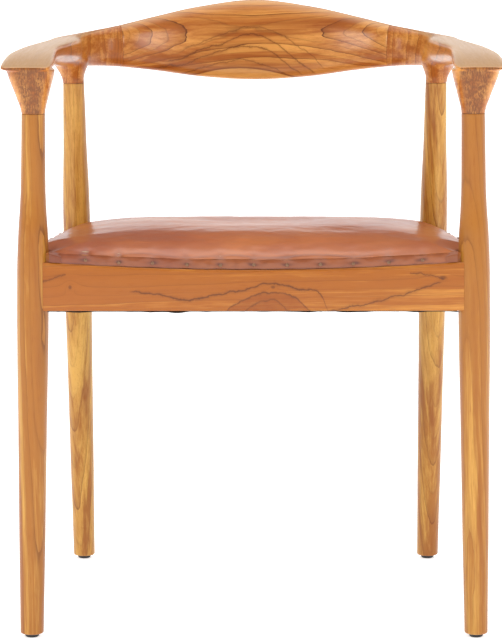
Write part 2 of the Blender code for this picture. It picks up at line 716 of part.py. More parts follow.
def screw_hole(name, matrix):
    profile = [(0, SCREW_LENGTH), (SCREW_HEAD_R + FIT, SCREW_LENGTH), (SCREW_HEAD_R + FIT, -FIT),
               (SCREW_R + FIT, -FIT), (SCREW_R + FIT, SCREW_POINT - SCREW_LENGTH),
               (0, -SCREW_LENGTH - GLUE_ROOM)]
    return settle(turned(name, profile, SMALL_STEPS, CUTTERS), matrix)


def strap_piece(name, lengthwise, index):
    """A webbing strap, woven over and under those that cross it. Lengthwise ones run front to back."""
    half_span = STRAP_PITCH * (STRAP_COUNT - 1) / 2
    offset = STRAP_PITCH * index - half_span
    if lengthwise:
        centre = offset
        crossed_middle = SEAT_MIDDLE.y
        start = FRONT_AT_SEAT.y - FRONT_LINE.leather_face + STRAP_INSET
        end = BACK_AT_SEAT.y + BACK_LINE.leather_face - STRAP_INSET
        on_rail = FRONT_LINE.leather_face - STRAP_INSET - FRONT_LINE.inner
    else:
        centre = SEAT_MIDDLE.y + offset
        crossed_middle = 0.0
        on_rail = RIGHT_LINE.leather_face - STRAP_INSET - RIGHT_LINE.inner
        end = half_width(centre) + on_rail
        start = -end
    stops = [(start, 0.0), (start + on_rail, 0.0)]
    for j in range(STRAP_COUNT):
        crossing = crossed_middle + STRAP_PITCH * j - half_span
        over = 1 if (index + j) % 2 == (0 if lengthwise else 1) else -1
        flat = STRAP_WIDTH / 2 + WEAVE_ROOM
        stops += [(crossing - flat, over * WEAVE_LIFT), (crossing + flat, over * WEAVE_LIFT)]
    stops += [(end - on_rail, 0.0), (end, 0.0)]
    bm = bmesh.new()
    bmesh.ops.create_grid(bm, x_segments=2, y_segments=len(stops) - 1, size=1)
    for vert in bm.verts:
        along, rise = stops[round((vert.co.y + 1) / 2 * (len(stops) - 1))]
        across = centre + vert.co.x * STRAP_WIDTH / 2
        x, y = (across, along) if lengthwise else (along, across)
        vert.co = (x, y, deck(x, y) + FIT + rise)
    bmesh.ops.recalc_face_normals(bm, faces=bm.faces)
    if sum(face.normal.z for face in bm.faces) < 0:
        bmesh.ops.reverse_faces(bm, faces=bm.faces)
    mesh = bpy.data.meshes.new(name)
    bm.to_mesh(mesh)
    bm.free()
    obj = add_object(name, mesh, PARTS)
    solidify = obj.modifiers.new("thickness", "SOLIDIFY")
    solidify.thickness = STRAP_THICKNESS
    solidify.offset = 1
    return settle(obj, SLOPE)


def circle_meeting(line, outward, centre, radius, way):
    """Where a line parallel to a rail line leaves a leg's circle, on the side that way points to."""
    foot_distance = (centre - line.middle).dot(line.outward)
    along = (centre - line.middle).dot(line.along)
    half_chord = math.sqrt(radius ** 2 - (outward - foot_distance) ** 2)
    side = math.copysign(1, way.dot(line.along))
    return line.place(along + side * half_chord, outward)


def seat_outline(inset, leg_room, height, edge_points, arc_points):
    """The seat's plan, clockwise from above: edges inside the rails' outer faces, and arcs round the legs.

    The legs are taken at a height of the level frame. Each point comes with True where it is on an arc.
    """
    lines = (BACK_LINE, RIGHT_LINE, FRONT_LINE, LEFT_LINE)
    legs = (BACK_LEG, FRONT_LEG, FRONT_LEG, BACK_LEG)
    front = FRONT_LEG.axis(height - SEAT_SLOPE_SHARE * FRONT_AT_SEAT.y)
    back = BACK_LEG.axis(height - SEAT_SLOPE_SHARE * BACK_AT_SEAT.y)
    corners = (back, front, flipped(front), flipped(back))
    arcs = []
    for i, (leg, centre) in enumerate(zip(legs, corners)):
        radius = leg.seat_r + leg_room
        near = lines[i]
        far = lines[(i + 1) % 4]
        enter = circle_meeting(near, near.outer - inset, centre, radius, -near.along)
        leave = circle_meeting(far, far.outer - inset, centre, radius, far.along)
        inward = math.atan2(SEAT_MIDDLE.y - centre.y, SEAT_MIDDLE.x - centre.x)
        first = math.remainder(math.atan2(enter.y - centre.y, enter.x - centre.x) - inward, 2 * math.pi)
        last = math.remainder(math.atan2(leave.y - centre.y, leave.x - centre.x) - inward, 2 * math.pi)
        angles = [inward + first + (last - first) * k / (arc_points - 1) for k in range(arc_points)]
        arcs.append([centre + radius * Vector((math.cos(a), math.sin(a))) for a in angles])
    outline = []
    for i, arc in enumerate(arcs):
        outline += [(point, True) for point in arc]
        end = arcs[(i + 1) % 4][0]
        for k in range(1, edge_points + 1):
            outline.append((arc[-1].lerp(end, k / (edge_points + 1)), False))
    return outline


def cover_outline():
    """The seat's plan on the outside of the leather."""
    return seat_outline(REBATE - FIT - LEATHER_THICKNESS, LEG_ROOM, LIP_Z + UPSTAND, EDGE_POINTS, ARC_POINTS)


def edge_distance(point, outline):
    """Shortest way from a point in plan to the seat's outline."""
    best = math.inf
    for i, (start, _) in enumerate(outline):
        end = outline[(i + 1) % len(outline)][0]
        run = end - start
        share = min(1.0, max(0.0, (point - start).dot(run) / run.length_squared))
        best = min(best, (start + run * share - point).length)
    return best


def cover_height(point, outline):
    """Height of the leather's outer face, which rolls down to the edges and is crowned between them."""
    half_depth = SEAT_MIDDLE.y - FRONT_AT_SEAT.y + FRONT_LINE.leather_face
    roll = math.sin(math.pi / 2 * min(1.0, edge_distance(point, outline) / SEAT_ROLL))
    across = point.x / (half_width(point.y) - RIGHT_LINE.inner + RIGHT_LINE.leather_face)
    along = (point.y - SEAT_MIDDLE.y) / half_depth
    crown = SEAT_CROWN * max(0.0, 1 - across ** 4) * max(0.0, 1 - along ** 2)
    return deck(point.x, point.y) + LEATHER_THICKNESS + SEAT_RISE * roll + crown


def ring_grid(bm, rows, centre_point):
    """Joins rings of points into a skin, closed by a fan at its middle."""
    vert_rows = [[bm.verts.new(point) for point in row] for row in rows]
    count = len(rows[0])
    for near, far in zip(vert_rows, vert_rows[1:]):
        for i in range(count):
            j = (i + 1) % count
            bm.faces.new((near[i], near[j], far[j], far[i]))
    hub = bm.verts.new(centre_point)
    for i in range(count):
        bm.faces.new((vert_rows[-1][i], vert_rows[-1][(i + 1) % count], hub))


def leather_piece(tack_holes):
    """The seat cover: a skin with a skirt in the rebate, notched round the legs and open below."""
    outline = cover_outline()
    rows = [[], []]
    for point, on_arc in outline:
        top = deck(point.x, point.y)
        rim = top if on_arc else lip(point.x, point.y)
        rows[0].append((point.x, point.y, rim + FIT))
        rows[1].append((point.x, point.y, top + LEATHER_THICKNESS))
    for share in RING_SHARES:
        inner = [point.lerp(SEAT_MIDDLE, share) for point, _ in outline]
        rows.append([(p.x, p.y, cover_height(p, outline)) for p in inner])
    bm = bmesh.new()
    ring_grid(bm, rows, (*SEAT_MIDDLE, cover_height(SEAT_MIDDLE, outline)))
    bmesh.ops.recalc_face_normals(bm, faces=bm.faces)
    if sum(face.normal.z for face in bm.faces) < 0:
        bmesh.ops.reverse_faces(bm, faces=bm.faces)
    mesh = bpy.data.meshes.new("seat_leather")
    bm.to_mesh(mesh)
    bm.free()
    obj = add_object("seat_leather", mesh, PARTS)
    solidify = obj.modifiers.new("leather", "SOLIDIFY")
    solidify.thickness = LEATHER_THICKNESS
    solidify.offset = -1
    settle(obj, SLOPE)
    boolean(obj, tack_holes, "DIFFERENCE")
    return obj


def foam_piece():
    """The pad between the webbing and the leather."""
    outline = cover_outline()
    lift = FIT + WEAVE_LIFT + STRAP_THICKNESS + FIT
    under = LEATHER_THICKNESS + FOAM_ROOM
    sparse = outline[::2]
    top_rows = []
    bottom_rows = []
    for share in FOAM_RING_SHARES:
        inner = [point.lerp(SEAT_MIDDLE, share) for point, _ in sparse]
        top_rows.append([(p.x, p.y, cover_height(p, outline) - under) for p in inner])
        bottom_rows.append([(p.x, p.y, deck(p.x, p.y) + lift) for p in inner])
    bm = bmesh.new()
    ring_grid(bm, top_rows, (*SEAT_MIDDLE, cover_height(SEAT_MIDDLE, outline) - under))
    ring_grid(bm, [top_rows[0]] + bottom_rows, (*SEAT_MIDDLE, deck(*SEAT_MIDDLE) + lift))
    mesh = bpy.data.meshes.new("seat_foam")
    bm.to_mesh(mesh)
    bm.free()
    weld(mesh)
    return settle(add_object("seat_foam", mesh, PARTS), SLOPE)


def gimp_piece(name, line, start_leg, end_leg, holes):
    """A leather strip along the foot of the seat cover."""
    start = -line.length / 2 + start_leg.seat_r + GIMP_LEG_ROOM
    end = line.length / 2 - end_leg.seat_r - GIMP_LEG_ROOM
    low = rail_top_line(line, lip, start, end)
    outline = [(along, height + FIT) for along, height in low]
    outline += [(along, height + FIT + GIMP_HEIGHT) for along, height in reversed(low)]
    placed = line.matrix() @ Matrix.Translation((0, line.leather_face + FIT + GIMP_THICKNESS / 2, 0)) \
        @ Matrix.Rotation(math.pi / 2, 4, "X")
    obj = slab(name, outline, GIMP_THICKNESS, SLOPE @ placed, PARTS)
    for hole in holes:
        boolean(obj, hole, "DIFFERENCE")
    return obj


def tack_matrices():
    """The tacks' frames along the front gimp, from left to right: Z points out of the strip."""
    matrices = []
    for index in range(TACK_COUNT):
        along = (TACK_COUNT - 1) / 2 * TACK_PITCH - index * TACK_PITCH
        place = FRONT_LINE.place(along, FRONT_LINE.leather_face + GIMP_THICKNESS + 2 * FIT)
        height = lip(place.x, place.y) + GIMP_HEIGHT * TACK_HEIGHT_SHARE
        turn = Matrix.Rotation(math.pi / 2, 4, "X")
        matrices.append(SLOPE @ Matrix.Translation((place.x, place.y, height)) @ turn)
    return matrices


def tack_piece(name, matrix):
    profile = [(0, TACK_DOME)]
    for angle in (math.radians(60), math.radians(30), 0):
        profile.append((TACK_R * math.cos(angle), TACK_DOME * math.sin(angle)))
    profile += [(TACK_SHANK_R, 0), (TACK_SHANK_R, TACK_POINT - TACK_SHANK_LENGTH), (0, -TACK_SHANK_LENGTH)]
    return settle(turned(name, profile, SMALL_STEPS, PARTS), matrix)


def tack_hole_set(matrices):
    """All the tack holes as one cutter."""
    bm = bmesh.new()
    length = TACK_SHANK_LENGTH + GLUE_ROOM + OVERRUN
    for matrix in matrices:
        middle = Matrix.Translation((0, 0, OVERRUN - length / 2))
        bmesh.ops.create_cone(bm, cap_ends=True, segments=6, radius1=TACK_SHANK_R + FIT,
                              radius2=TACK_SHANK_R + FIT, depth=length, matrix=matrix @ middle)
    mesh = bpy.data.meshes.new("tack_holes")
    bm.to_mesh(mesh)
    bm.free()
    return add_object("tack_holes", mesh, CUTTERS)


def dust_cover_piece():
    outline = seat_outline(DUST_INSET, DUST_LEG_ROOM, RAIL_BOTTOM_Z, 1, ARC_POINTS)
    height = RAIL_BOTTOM_Z - FIT - DUST_THICKNESS / 2
    return slab("dust_cover", [(p.x, p.y) for p, _ in outline], DUST_THICKNESS,
                SLOPE @ Matrix.Translation((0, 0, height)), PARTS)


def centre_frame():
    """Moves the whole chair so that its box is centred on the origin in depth."""
    lows = []
    highs = []
    for obj in PARTS.objects:
        mesh = evaluated_mesh(obj)
        depths = [vertex.co.y for vertex in mesh.vertices]
        lows.append(min(depths))
        highs.append(max(depths))
        bpy.data.meshes.remove(mesh)
    FRAME.location.y = -(min(lows) + max(highs)) / 2


def build_chair():
    cross_reach = TENON_PAST_AXIS
    side_reach = CROSS_PROUD - RAIL_THICKNESS / 2 - TENON_THICKNESS / 2 - 2 * FIT - MORTISE_WALL

    joint = joint_matrix()
    joint_size = (LOOSE_TENON_LENGTH, LOOSE_TENON_THICKNESS, LOOSE_TENON_HEIGHT)
    socket_size = [length + 2 * FIT for length in joint_size]
    joint_cutter = box("crest_socket", socket_size, joint, CUTTERS)
    right_arm = finish_piece(arm_piece(joint_cutter), "teak")
    mirrored(right_arm, "left_arm", "teak")
    finish_piece(crest_piece(joint_cutter), "teak")
    tenon = finish_piece(box("right_crest_tenon", joint_size, joint, PARTS), "teak")
    mirrored(tenon, "left_crest_tenon", "teak")

    front_mortises = (mortise("front_cross_mortise", FRONT_LINE, -1, cross_reach),
                      mortise("front_side_mortise", RIGHT_LINE, 1, side_reach))
    back_mortises = (mortise("back_cross_mortise", BACK_LINE, 1, cross_reach),
                     mortise("back_side_mortise", RIGHT_LINE, -1, side_reach))
    for name, leg, mortises in (("front", FRONT_LEG, front_mortises), ("back", BACK_LEG, back_mortises)):
        right = finish_piece(leg_piece(f"{name}_right_leg", leg, mortises), "teak")
        mirrored(right, f"{name}_left_leg", "teak")
        glide = finish_piece(glide_piece(f"{name}_right_glide", leg), "nylon")
        mirrored(glide, f"{name}_left_glide", "nylon")

    tacks = tack_matrices()
    tack_holes = tack_hole_set(tacks)
    front_cope = leg_cope("front_cope", FRONT_LEG)
    back_cope = leg_cope("back_cope", BACK_LEG)
    front_holes = [tack_holes]
    back_holes = []
    side_holes = []
    for name, cross_holes in (("front", front_holes), ("back", back_holes)):
        front = name == "front"
        holes = []
        for into_cross, where in ((True, "cross"), (False, "side")):
            matrix = screw_matrix(front, into_cross)
            screw = finish_piece(screw_piece(f"{name}_right_{where}_screw", matrix), "steel")
            mirrored(screw, f"{name}_left_{where}_screw", "steel")
            holes.append(screw_hole(f"{name}_{where}_screw_hole", matrix))
        cross_holes += [holes[0], mirror_cutter(holes[0])]
        side_holes.append(holes[1])
        block = finish_piece(block_piece(f"{name}_right_corner_block", front, holes), "teak")
        mirrored(block, f"{name}_left_corner_block", "teak")

    front_copes = (front_cope, mirror_cutter(front_cope))
    back_copes = (back_cope, mirror_cutter(back_cope))
    finish_piece(rail_piece("front_rail", FRONT_LINE, cross_reach, front_copes, front_holes), "teak")
    finish_piece(rail_piece("back_rail", BACK_LINE, cross_reach, back_copes, back_holes), "teak")
    right_rail = rail_piece("right_rail", RIGHT_LINE, side_reach, (front_cope, back_cope), side_holes)
    finish_piece(right_rail, "teak")
    mirrored(right_rail, "left_rail", "teak")

    for index in range(STRAP_COUNT):
        for lengthwise, where in ((True, "lengthwise"), (False, "crosswise")):
            finish_piece(strap_piece(f"{where}_strap_{index + 1}", lengthwise, index), "webbing")
    finish_piece(foam_piece(), "foam")
    finish_piece(leather_piece(tack_holes), "leather")
    finish_piece(gimp_piece("front_gimp", FRONT_LINE, FRONT_LEG, FRONT_LEG, [tack_holes]), "leather")
    finish_piece(gimp_piece("back_gimp", BACK_LINE, BACK_LEG, BACK_LEG, []), "leather")
    right_gimp = finish_piece(gimp_piece("right_gimp", RIGHT_LINE, BACK_LEG, FRONT_LEG, []), "leather")
    mirrored(right_gimp, "left_gimp", "leather")
    for index, matrix in enumerate(tacks):
        finish_piece(tack_piece(f"front_tack_{index + 1:02d}", matrix), "brass")
    finish_piece(dust_cover_piece(), "cloth")
    centre_frame()


clear_scene()
PARTS = make_collection("armchair")
CUTTERS = make_collection("armchair cutters")
FRAME = bpy.data.objects.new("chair_frame", None)
bpy.context.scene.collection.objects.link(FRAME)
build_chair()
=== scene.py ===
"""Looks of an open-frame teak armchair with a leather seat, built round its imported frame.

Lengths are in metres. The chair faces -Y, with its right side at +X as seen from the front.
"""
import math
import random
from functools import partial

import bmesh
import bpy
import numpy as np
from bpy.props import FloatProperty, FloatVectorProperty, PointerProperty
from mathutils import Matrix, Vector, noise


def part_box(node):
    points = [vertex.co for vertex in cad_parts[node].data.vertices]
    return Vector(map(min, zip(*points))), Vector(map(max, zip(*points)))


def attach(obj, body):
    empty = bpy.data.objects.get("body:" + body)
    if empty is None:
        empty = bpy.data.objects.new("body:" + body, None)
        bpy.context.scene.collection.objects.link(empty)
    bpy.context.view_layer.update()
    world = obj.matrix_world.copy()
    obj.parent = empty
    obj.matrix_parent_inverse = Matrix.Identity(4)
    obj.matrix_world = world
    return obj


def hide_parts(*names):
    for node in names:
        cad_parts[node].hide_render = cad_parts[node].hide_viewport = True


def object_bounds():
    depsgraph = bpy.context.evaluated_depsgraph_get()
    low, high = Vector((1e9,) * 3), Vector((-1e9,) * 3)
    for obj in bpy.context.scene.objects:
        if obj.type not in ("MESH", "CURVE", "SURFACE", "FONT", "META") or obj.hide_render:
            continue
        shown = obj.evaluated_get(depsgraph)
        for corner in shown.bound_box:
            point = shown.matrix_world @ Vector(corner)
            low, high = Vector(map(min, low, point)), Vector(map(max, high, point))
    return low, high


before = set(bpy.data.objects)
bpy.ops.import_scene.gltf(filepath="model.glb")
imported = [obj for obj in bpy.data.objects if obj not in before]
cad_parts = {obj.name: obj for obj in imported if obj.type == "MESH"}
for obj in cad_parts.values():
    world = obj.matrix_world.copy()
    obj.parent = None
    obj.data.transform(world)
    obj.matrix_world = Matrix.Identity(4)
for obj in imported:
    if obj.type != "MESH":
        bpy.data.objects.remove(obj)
CAD_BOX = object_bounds()

bl_info = {
    "name": "Teak armchair",
    "version": (1, 0, 0),
    "blender": (4, 5, 0),
    "location": "3D View > Sidebar > Armchair",
    "description": "Builds a carved teak armchair with a leather seat, and its studio",
    "category": "Object",
}

BODY = "root"
FIT = 0.0003                 # gap between two pieces that touch
MERGE = 0.00001              # points closer than this are one point
LIFT = 0.0002                # further gap under a soft piece that lies on another
SEED = 7


def linear(code):
    """An sRGB hex colour as linear red, green and blue."""
    channels = [int(code[i:i + 2], 16) / 255 for i in (1, 3, 5)]
    return tuple(c / 12.92 if c <= 0.04045 else ((c + 0.055) / 1.055) ** 2.4 for c in channels)


def length(name, description, default):
    return FloatProperty(name=name, description=description, default=default, unit="LENGTH", precision=4)


def colour(name, description, code):
    return FloatVectorProperty(name=name, description=description, default=linear(code), size=3,
                               subtype="COLOR", min=0, max=1)


class ChairSizes(bpy.types.PropertyGroup):
    """Sizes of the finished surfaces."""
    arm_width: length("Arm width", "Width of the arm over the front leg", 0.063)
    arm_height: length("Arm height", "Thickness of the arm over the front leg", 0.022)
    crest_height: length("Crest height", "Height of the crest rail at its middle", 0.109)
    crest_thickness: length("Crest thickness", "Thickness of the crest rail", 0.027)
    cap_half_width: length("Cap half width", "Half width of the flared cap under the arm", 0.0290)
    cap_half_depth: length("Cap half depth", "Half depth of the flared cap under the arm", 0.0296)
    carving_voxel: length("Carving voxel", "Grain size of the carved arm's skin", 0.0013)
    seat_roll: length("Seat roll", "Width of the seat's rolled edge", 0.045)
    seat_rise: length("Seat rise", "Height gained over the rolled edge", 0.0075)
    seat_crown: length("Seat crown", "Crown of the seat at its middle", 0.0215)
    seat_front_slope: length("Seat front slope", "Way back from the front edge to the seat's flat top", 0.165)
    seat_back_slope: length("Seat back slope", "Way forward from the back edge to the seat's flat top", 0.100)
    leather: length("Leather", "Thickness of the leather", 0.0015)
    gimp_height: length("Gimp height", "Height of the strip along the foot of the cover", 0.0118)
    tack_pitch: length("Tack pitch", "Distance from tack to tack", 0.041)
    tack_radius: length("Tack radius", "Radius of a tack's head", 0.0023)
    tack_dome: length("Tack dome", "Height of a tack's head", 0.0010)
    staple_pitch: length("Staple pitch", "Distance from staple to staple under the seat", 0.030)


class ChairColours(bpy.types.PropertyGroup):
    """Colours of the finishes."""
    teak_light: colour("Teak light", "Early wood of the oiled teak", "#D8964A")
    teak_mid: colour("Teak mid", "Body of the oiled teak", "#A95F22")
    leg_light: colour("Leg wood light", "Early wood of the yellower boards of the legs", "#D4A04A")
    leg_mid: colour("Leg wood mid", "Body of the yellower boards of the legs", "#A56722")
    rail_light: colour("Rail wood light", "Early wood of the deeper boards of the seat rails", "#D2903C")
    rail_mid: colour("Rail wood mid", "Body of the deeper boards of the seat rails", "#A15A18")
    teak_dark: colour("Teak dark", "Brown streaks", "#8A430E")
    teak_line: colour("Teak line", "Late wood lines", "#643410")
    teak_streak: colour("Teak knots", "Mineral streaks and knots", "#4E260F")
    teak_sap: colour("Teak sapwood", "Pale sapwood", "#E5A758")
    teak_end: colour("Teak end grain", "Carved ends, dark with oil", "#74431F")
    # Painted sheen: a pale colour laid on the up-facing tops of the arms and the crest, standing in for their
    # reflection of the bright studio
    teak_painted_sheen: colour("Worn teak", "Tops of the arms, rubbed pale", "#CCA47A")
    leather: colour("Leather", "Cognac leather", "#A2542F")
    leather_warm: colour("Leather glow", "Leather where it is stretched thin", "#B96A36")
    # Dark leather: the darker mottling, and also the painted shade in folds, creases and dents
    leather_dark: colour("Leather folds", "Leather in folds and creases", "#4A1A10")
    tack: colour("Tacks", "Oxidised brass", "#8A6A54")
    steel: colour("Steel", "Plain steel of screws and staples", "#A9A9AC")
    nylon: colour("Nylon", "Black nylon of the glides", "#1A1A1B")
    jute: colour("Jute", "Webbing", "#A98A5B")
    foam: colour("Foam", "Seat foam", "#E6D9B2")
    cotton: colour("Cotton", "Black cotton under the seat", "#16161A")
    floor: colour("Floor", "Plain pale floor", "#F4F4F4")


# Legs, as the frame has them: where their axes stand on the floor and meet the arms

FRONT_FOOT, BACK_FOOT = [sum(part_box(f"{end}_right_glide"), Vector()) / 2 for end in ("front", "back")]
FRONT_Y = FRONT_FOOT.y
FRONT_JOINT_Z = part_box("right_arm")[0].z - FIT
GLIDE_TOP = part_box("front_right_leg")[0].z
BACK_JOINT_Z = 0.662
SEAT_LEVEL = 0.440
FRONT_TOP = Vector((0.267, FRONT_Y))
BACK_TOP = Vector((0.2408, FRONT_Y + 0.370))

# Shares of the height from foot to seat level, and of the swelling reached there
LOWER_SWELL_SHARES = ((0.0, 0.0), (0.16, 0.18), (0.27, 0.35), (0.5, 0.55), (0.65, 0.70), (0.76, 0.86),
                      (0.88, 0.98), (1.0, 1.0))
# The same from seat level to the joint under the arm
FRONT_UPPER_SWELL_SHARES = ((0.0, 1.0), (0.14, 0.95), (0.32, 0.69), (0.45, 0.36), (0.56, 0.16), (0.78, 0.06),
                            (1.0, 0.0))
BACK_UPPER_SWELL_SHARES = ((0.0, 1.0), (0.2, 0.95), (0.4, 0.76), (0.62, 0.36), (0.83, 0.18), (1.0, 0.0))
FOOT_ROUND = 0.0022
JOINT_ROUND = 0.0006         # eased edge at the leg's top, which shows as a ring line
FOOT_STEPS = 3
LEG_STEPS = 150
LEG_POINTS = 64

# Glides: a flat to stand on, a domed side, and a nail with a blunt tip
GLIDE_RADIUS = 0.0088
GLIDE_FLAT = 0.0060
GLIDE_POLE = 0.0005
GLIDE_HEIGHT = 0.0045
GLIDE_EDGE = 0.0004
GLIDE_STEPS = 8
GLIDE_POINTS = 40
NAIL_RADIUS = 0.0013
NAIL_LENGTH = 0.013
NAIL_POINT = 0.0004
NAIL_TIP = 0.001

# Arms and crest rail: their stations from the front tip to the back leg. Shares: depth, way inward, width,
# rise of the top, height, part above the edge line, and the powers that square the upper and lower halves.
ARM_OVERHANG = 0.030
ARM_TOP_Z = 0.7125
BACK_ARM_TOP_Z = 0.7238
ARM_SET_OUT = 0.006
BACK_ARM_WIDTH = 0.044
BACK_ARM_HEIGHT = 0.041
CREST_Y = FRONT_Y + 0.472
CREST_TOP_Z = CAD_BOX[1].z
CREST_LEAN = math.radians(12)
ARM_STATION_SHARES = (
    (-1.00, -0.07, 0.66, -0.35, 0.18, 0.50, 3.4, 2.2),
    (-0.93, -0.07, 0.83, -0.31, 0.22, 0.50, 3.8, 2.2),
    (-0.72, -0.07, 0.94, -0.22, 0.32, 0.42, 4.2, 2.0),
    (-0.30, -0.07, 0.97, -0.08, 0.48, 0.34, 4.4, 2.0),
    (0.10, -0.08, 0.98, 0.30, 0.90, 0.34, 4.4, 2.1),
    (0.27, -0.08, 0.92, 0.66, 1.00, 0.38, 4.4, 2.3),
    (0.48, 0.10, 0.74, 0.90, 1.14, 0.38, 4.4, 2.4),
    (0.70, 0.53, 0.73, 0.97, 1.42, 0.40, 4.2, 2.5),
    (0.88, 0.85, 0.72, 1.00, 1.62, 0.42, 4.0, 2.6),
)
# From the back leg round the bend to the middle of the crest. Shares: depth, half spacing of the back legs,
# way from arm to crest thickness, rise of the top, growth of the height, lean, upper part, two powers.
BEND_STATION_SHARES = (
    (0.00, 1.010, 0.00, 0.00, 0.00, 0.05, 0.43, 3.8, 2.8),
    (0.30, 0.960, 0.35, 0.04, 0.04, 0.20, 0.46, 3.4, 2.8),
    (0.55, 0.870, 0.68, 0.12, 0.10, 0.38, 0.48, 3.0, 2.8),
    (0.725, 0.740, 0.90, 0.25, 0.22, 0.55, 0.50, 2.8, 2.8),
    (0.86, 0.545, 1.00, 0.505, 0.475, 0.78, 0.50, 2.8, 2.8),
    (0.96, 0.300, 1.00, 0.80, 0.80, 0.94, 0.50, 2.8, 2.8),
    (1.00, 0.000, 1.00, 1.00, 1.00, 1.00, 0.50, 2.8, 2.8),
)
JOINT_STATION = len(ARM_STATION_SHARES) + 3      # the fourth station of the bend
RING_POINTS = 84
STATION_STEPS = 14
TANGENT_SHARE = 0.01

# Cap over the front leg and knuckle over the back leg: shares of the height and of the flare reached there
CAP_HEIGHT = 0.0535
CAP_SHARES = ((0.0, 0.0), (0.15, 0.10), (0.30, 0.27), (0.45, 0.45), (0.72, 0.76), (0.90, 0.95), (1.0, 1.0))
CAP_STEPS = 24
CAP_SQUARE = 2.5             # squareness of the cap where it meets the arm
CAP_SET_OUT = 0.0032         # how far the cap leans outward on its way up
KNUCKLE_HEIGHT = 0.050
KNUCKLE_FLARE = 0.0105
KNUCKLE_SET_OUT = 0.0060
KNUCKLE_SHARES = ((0.0, 0.0), (0.12, 0.06), (0.28, 0.34), (0.44, 0.74), (0.58, 1.0), (0.72, 0.97),
                  (0.84, 0.58), (0.94, -0.05), (1.0, -0.60))
KNUCKLE_STEPS = 6            # rings from one station to the next
CARVING_OVERRUN = 0.006      # carved shapes run past their flat ends, which are then cut
NEAR_LEG = 0.05              # how far round a leg's axis its joint is cut flat
JOINT_EASE = 0.0003          # eased edge of each joint between two pieces of wood
JOINT_ANGLE = math.radians(55)

# Smoothing of the carving: all of it lightly, the knuckle long, but not close under the top or at the joint
SCRAPE_PASSES = 4
BLEND_PASSES = 110
BLEND_REACH = 0.055
BLEND_GAIN = 2.5
BLEND_TOP_GAP = 0.006
BLEND_TOP_FADE = 0.010
BLEND_JOINT_GAP = 0.004
BLEND_JOINT_FADE = 0.006

# Seat frame, laid out level and then sloped
LIP_Z = 0.470
RAIL_BOTTOM_Z = 0.410
UPSTAND = 0.0115
REBATE = 0.005
RAIL_THICKNESS = 0.022
CROSS_PROUD = 0.015
SIDE_PROUD = 0.011
SEAT_DISH = 0.009
SEAT_SLOPE_SHARE = 0.045
LIP_ROUND = 0.0030
RAIL_ROUND = 0.0022
RAIL_STEPS = 48
LEG_ROOM = 0.0022
GIMP_LEG_ROOM = 0.003
GIMP_THICKNESS = 0.0013
TACK_COUNT = 13


class Leg:
    """One right-hand leg: its axis and its radius at every height."""

    def __init__(self, foot, top, joint_z, radii, upper_shares):
        self.foot = Vector((foot.x, foot.y))
        self.top = top
        self.joint_z = joint_z
        self.foot_r, self.seat_r, self.top_r = radii
        self.sides = [(mix(GLIDE_TOP, SEAT_LEVEL, height), mix(self.foot_r, self.seat_r, swell))
                      for height, swell in LOWER_SWELL_SHARES]
        self.sides += [(mix(SEAT_LEVEL, joint_z, height), mix(self.top_r, self.seat_r, swell))
                       for height, swell in upper_shares[1:]]

    def axis(self, height):
        return self.foot + (self.top - self.foot) * (height / self.joint_z)

    def radius(self, height):
        return value_at(self.sides, height)


def value_at(stations, key):
    """The second value on a smooth line through stations, at the place where the first one is the key."""
    last = len(stations) - 2
    index = next((i for i in range(last + 1) if key <= stations[i + 1][0]), last)
    low, high = stations[index][0], stations[index + 1][0]
    return through(stations, index + min(1.0, max(0.0, (key - low) / (high - low))))[1]


def mix(start, end, share):
    return start + (end - start) * share


def through(stations, place, mirrored=False):
    """A point on a smooth curve through stations of several values each."""
    index = min(int(place), len(stations) - 2)
    t = place - index
    before = stations[max(index - 1, 0)]
    last = (-stations[-2][0], *stations[-2][1:]) if mirrored else stations[-1]
    after = stations[index + 2] if index + 2 < len(stations) else last
    return [0.5 * (2 * b + (c - a) * t + (2 * a - 5 * b + 4 * c - d) * t * t
                   + (3 * b - a - 3 * c + d) * t ** 3)
            for a, b, c, d in zip(before, stations[index], stations[index + 1], after)]


FRONT_LEG = Leg(FRONT_FOOT, FRONT_TOP, FRONT_JOINT_Z, (0.0146, 0.0197, 0.0145), FRONT_UPPER_SWELL_SHARES)
BACK_LEG = Leg(BACK_FOOT, BACK_TOP, BACK_JOINT_Z, (0.0146, 0.0184, 0.0141), BACK_UPPER_SWELL_SHARES)


# Mesh building

def mesh_of(bm, name):
    mesh = bpy.data.meshes.new(name)
    bm.to_mesh(mesh)
    bm.free()
    return mesh


def add_loft(bm, rings):
    """Skins a row of rings and caps both ends."""
    rows = [[bm.verts.new(point) for point in ring] for ring in rings]
    count = len(rows[0])
    faces = []
    for near, far in zip(rows, rows[1:]):
        for i in range(count):
            j = (i + 1) % count
            faces.append(bm.faces.new((near[i], near[j], far[j], far[i])))
    faces.append(bm.faces.new(rows[0]))
    faces.append(bm.faces.new(rows[-1]))
    bmesh.ops.recalc_face_normals(bm, faces=faces)


def lofted(name, *lofts):
    """A mesh of closed lofts, each from its own row of rings."""
    bm = bmesh.new()
    for rings in lofts:
        add_loft(bm, rings)
    return mesh_of(bm, name)


def turns(count):
    """So many angles, evenly round a full turn."""
    return [2 * math.pi * i / count for i in range(count)]


def circle(centre, radius, height, count):
    return [(centre.x + radius * math.cos(a), centre.y + radius * math.sin(a), height) for a in turns(count)]


def turned(name, profile, steps, leg):
    """A turned shape about a leg's axis from (radius, height) points, bottom to top."""
    return lofted(name, [circle(leg.axis(height), radius, height, steps) for radius, height in profile])


def baked(obj):
    """Turns an object's modifiers into plain mesh."""
    bpy.context.view_layer.update()
    depsgraph = bpy.context.evaluated_depsgraph_get()
    mesh = bpy.data.meshes.new_from_object(obj.evaluated_get(depsgraph), depsgraph=depsgraph)
    obj.modifiers.clear()
    obj.data = mesh
    return obj


def thickened(obj, thickness, offset=-1):
    """Gives an open skin its thickness: inward at -1, outward at 1."""
    wall = obj.modifiers.new("wall", "SOLIDIFY")
    wall.thickness = thickness
    wall.offset = offset
    return baked(obj)


